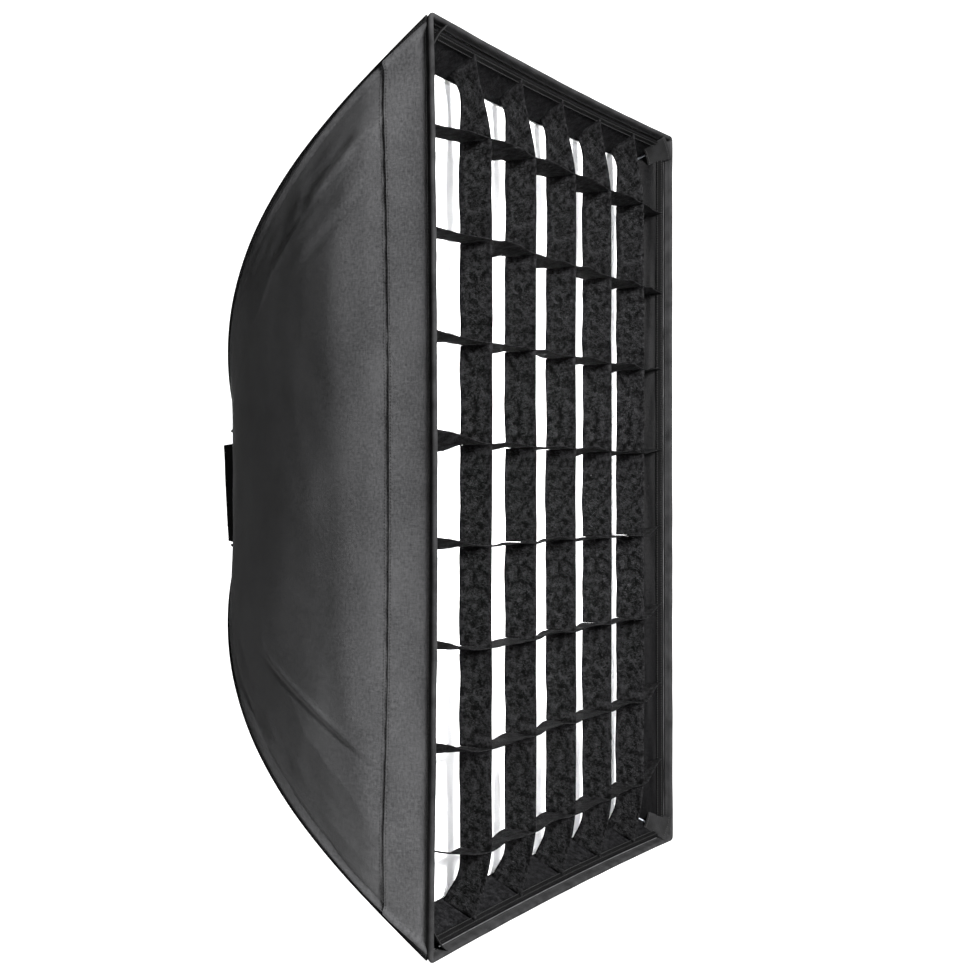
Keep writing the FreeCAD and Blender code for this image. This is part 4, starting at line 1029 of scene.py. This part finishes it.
def strip_sheet(name, along, upright, fixed, seed):
    """One felt strip with a half-lap slot at each crossing, a wavy rear edge and shaped ends."""
    front_end, rear_end = [reach_at("top" if upright else "right", fixed, GRID_FRONT + k * STRIP_DEPTH,
                                    GRID_INSET + 0.0010) - 0.0005 for k in (0, 1)]
    laps = crossings(ROWS if upright else COLUMNS)
    runs = sorted([*np.linspace(-1, 1, along) * rear_end, *(c + k for c in laps for k in (-SLOT, SLOT))])
    runs = np.array([r for i, r in enumerate(runs) if i == 0 or r - runs[i - 1] > 0.0004])
    u, d = np.meshgrid(runs, np.linspace(0, 1, 15))
    edge = rear_end - np.abs(u)
    splay = (front_end - rear_end) / rear_end * (1 - d)
    stretch = 1 + splay * smooth(np.abs(u), rear_end - PITCH, rear_end)
    nearest = np.min([np.abs(u - c) for c in laps], axis=0)
    free = smooth(nearest, 0.004, 0.05)
    wave = smooth_noise((u, fixed), 0.055, seed)
    deep = STRIP_DEPTH * (1 + 0.05 * wave * free)
    y = GRID_FRONT - RIM_DEPTH + d * deep + 0.0008 * wave * (1 - d) * free
    flutter = smooth_noise((u, d * 0.03 + fixed), 0.07, seed + 40)
    side = fixed + 0.0026 * flutter * free * smooth(edge, 0.0, 0.03) * (0.4 + d)
    if not upright:
        tilt = smooth_noise((u, fixed * 3), 0.11, seed + 80)
        side = side - (0.5 + 1.2 * tilt) * ROW_DROOP * free * (d - 0.35)
    run = u * stretch
    points = np.stack((side, y, run) if upright else (run, y, side), axis=-1)
    points = points + grid_shift(points, d)
    middle = (len(u) - 1) // 2
    slots = {int(np.argmin(np.abs(runs - (c - SLOT)))) for c in laps}

    def skip(i, j):
        return j in slots and (i >= middle if upright else i < middle)

    obj = add_sheet(name, points, FELT_THICKNESS, facing=(1, 0, 0) if upright else (0, 0, 1), skip=skip,
                    uv=uv_of(u, d * STRIP_DEPTH))
    obj.modifiers["thickness"].offset = 0
    return obj, flat_size(points)


def make_grid():
    """The felt grid: uprights and rows laced through each other, and the border that they are sewn to."""
    kinds = (("upright", COLUMNS, 190, ("top", "bottom"), 110), ("row", ROWS, 130, ("left", "right"), 130))
    for kind, count, along, ends, seed in kinds:
        for i, place in enumerate(crossings(count), 1):
            obj, size = strip_sheet(f"grid_{kind}_felt_{i}", along, kind == "upright", place, seed + i)
            finish_piece(obj, "grid", [FELT], [f"grid_{kind}_{i}"])
    for side, (axis, _) in SIDES.items():
        band, size = inner_band(side, "grid_border", FELT_BAND if axis == "z" else SATIN, "grid_border")
        hem, _ = inner_band(side, "grid_hem", HEM)
        rows = []
        for s in (0.0150, 0.0225):
            half = float(side_half(side, s)) - 0.010
            v = np.linspace(-half, half, 120)
            base, below = [shell(side, s, v, inset) for inset in (0.0079, 0.0066)]
            rows.append((base, base - below))
        stitches = add_stitches(f"{side}_grid_stitches", rows, "grid", THREAD)


# ---------------- flaps at the speedring

FLAP_CREST = {"left": (-0.001, 0.009)}


def make_flaps():
    """Hook-and-loop flaps folded over the speedring's edge, the left one pulled crooked."""
    for side, (axis, sign) in SIDES.items():
        index = 0 if axis == "x" else 2
        other = 2 - index

        def placed(outward, y, run):
            parts = (outward, y, run) if axis == "x" else (run, y, outward)
            return np.stack(np.broadcast_arrays(*parts), axis=-1)

        low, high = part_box(f"flap_{side}")
        tab_end, out = sorted((abs(low[index]), abs(high[index])))
        u = np.linspace(0, 1, 40)
        length = high[other] - low[other]
        crest_low, crest_high = FLAP_CREST.get(side, (0.002, 0.003))
        crest = crest_low + (crest_high - crest_low) * u + 0.0006 * np.sin(u * 11)
        # The section over the ring's edge: how far out, how far up to the crest, and how far folded.
        section = ((out - 0.0008, 0.0, 0.0), (out - 0.0004, 0.3, 0.0), (out, 0.6, 0.0), (out, 0.9, 0.0),
                   (out - 0.0008, 0.985, 0.0), (out - 0.0024, 1.0, 0.0), (out - 0.0042, 0.96, 0.3),
                   (out - 0.0066, 0.80, 0.8), (tab_end, 0.72, 1.0))
        rows = []
        for k, (across, up, folded) in enumerate(section):
            run = low[other] + (0.5 + (u - 0.5) * (1.0 - 0.012 * k - 0.32 * folded)) * length
            y = (low.y + (crest - low.y) * up) * (1 - folded) + high.y * folded
            rows.append(placed(sign * (across + 0.0010 * np.sin(u * 9 + k) * up), y, run))
        points = np.stack(rows)
        body = f"flap_{side}_body"
        obj = sheet_piece(f"flap_{side}_cloth", points, CLOTH, body, "black_nylon", [FLAP_CLOTH],
                          [f"flap_{side}"])
        outward = repeated((sign, 0, 0) if axis == "x" else (0, 0, sign), len(u))
        rows = [(points[k] + outward * 0.0006, outward) for k in (1, 3)]
        stitches = add_stitches(f"flap_{side}_stitches", rows, body, THREAD)
        tape_low, tape_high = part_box(f"flap_tape_{side}")
        across = np.linspace(tape_low[index], tape_high[index], 8)[:, None]
        run = np.linspace(tape_low[other], tape_high[other], 30)
        tape = sheet_piece(f"flap_{side}_hook_tape", placed(across, tape_high.y, run), 0.0010, body,
                           "hook_tape", [HOOK], [f"flap_tape_{side}"], facing=(0, 1, 0))


# ---------------- stage, light and camera

FLOOR_DROP = 1.1
FLOOR_RADIUS = 3.4
FLOOR_RINGS = 8
FLOOR_SPOKES = 64
CAMERA_PLACE = (-2.0982, -1.5951, -0.0044)
CAMERA_TURN = math.radians(61.031)
CAMERA_RISE = math.radians(0.2094)
CAMERA_LENS = 57.94
AIM = (0, -0.4, 0)


def make_stage():
    """A pale round floor that fades into the backdrop, so that no horizon shows."""
    floor_level = cad_low.z - FLOOR_DROP
    verts, faces = [(0.0, 0.0, floor_level)], []
    angles = np.linspace(0, 2 * math.pi, FLOOR_SPOKES + 1)[:-1]
    for k in range(FLOOR_RINGS):
        radius = FLOOR_RADIUS * (k + 1) / FLOOR_RINGS
        verts += [(radius * math.cos(a), radius * math.sin(a), floor_level) for a in angles]
        outer = 1 + FLOOR_SPOKES * k
        inner = outer - FLOOR_SPOKES
        for i in range(FLOOR_SPOKES):
            j = (i + 1) % FLOOR_SPOKES
            near = (inner + i, inner + j) if k else (0, 0)
            faces.append((near[0], outer + i, outer + j, near[1])[:4 if k else 3])
    floor = add_mesh("studio_floor", verts, faces, [(p[0], p[1]) for p in verts])
    n = Nodes("pale_floor")
    soft = n.noise(n.place(uv=False), 1.5, 3.0, 0.5)
    grain = n.bump(n.noise(n.place(uv=False), 300.0), 0.1, 0.001)
    n.finish(n.ramp(soft, 0.3, 0.7, 0.90, 0.94), 0.9, grain)
    distance = n.put("ShaderNodeVectorMath", "Value", Vector=n.place(), operation="LENGTH")
    share = n.ramp(n.math("DIVIDE", distance, FLOOR_RADIUS), 0.25, 0.85, 0, 1)
    floor.data.materials.append(n.mix_in(n.put("ShaderNodeBsdfTransparent", "BSDF"), share))


def make_world():
    """A white backdrop for the camera, and a dimmer grey room as light on the object."""
    world = bpy.data.worlds.new("studio")
    bpy.context.scene.world = world
    world.use_nodes = True
    tree = world.node_tree
    back = tree.nodes["Background"]
    path = tree.nodes.new("ShaderNodeLightPath")
    level = tree.nodes.new("ShaderNodeMapRange")
    level.inputs["To Min"].default_value = 0.07
    level.inputs["To Max"].default_value = 1.6
    tree.links.new(path.outputs["Is Camera Ray"], level.inputs["Value"])
    tree.links.new(level.outputs["Result"], back.inputs["Strength"])
    back.inputs["Color"].default_value = (1, 1, 1, 1)


def add_light(name, place, aim, size, power):
    """A soft rectangular light that the camera doesn't see."""
    data = bpy.data.lights.new(name, "AREA")
    data.shape = "RECTANGLE"
    data.size, data.size_y = size
    data.energy = power
    light = bpy.data.objects.new(name, data)
    light.location = place
    light.rotation_mode = "QUATERNION"
    light.rotation_quaternion = (Vector(aim) - Vector(place)).to_track_quat("-Z", "Y")
    bpy.context.scene.collection.objects.link(light)
    light.visible_camera = False
    return light


def make_lights():
    add_light("key", (-2.35, -4.6, 1.7), AIM, (0.9, 1.5), 2050)
    add_light("top_fill", (0.4, -0.8, 3.0), AIM, (2.0, 2.0), 10)
    add_light("rear_fill", (3.2, 2.0, 1.0), AIM, (2.2, 2.2), 60)
    lamp = add_light("modelling_lamp", (0, -0.30, 0), (0, -1.0, 0), (0.40, 0.70), 13)
    lamp.data.spread = math.radians(150)


def make_camera():
    data = bpy.data.cameras.new("camera")
    camera = bpy.data.objects.new("camera", data)
    bpy.context.scene.collection.objects.link(camera)
    camera.location = CAMERA_PLACE
    level = math.cos(CAMERA_RISE)
    look = Vector((math.sin(CAMERA_TURN) * level, math.cos(CAMERA_TURN) * level, math.sin(CAMERA_RISE)))
    camera.rotation_mode = "QUATERNION"
    camera.rotation_quaternion = look.to_track_quat("-Z", "Y")
    data.sensor_width = 36
    data.lens = CAMERA_LENS
    bpy.context.scene.camera = camera


finish_cad_nodes()
make_shell()
make_corner_seams()
make_rim()
make_rear_binding()
make_lip_tape()
make_corner_pockets()
make_diffuser()
make_baffle()
make_straps()
make_grid()
make_flaps()
make_stage()
make_world()
make_lights()
make_camera()
bpy.context.scene.view_settings.view_transform = "Standard"
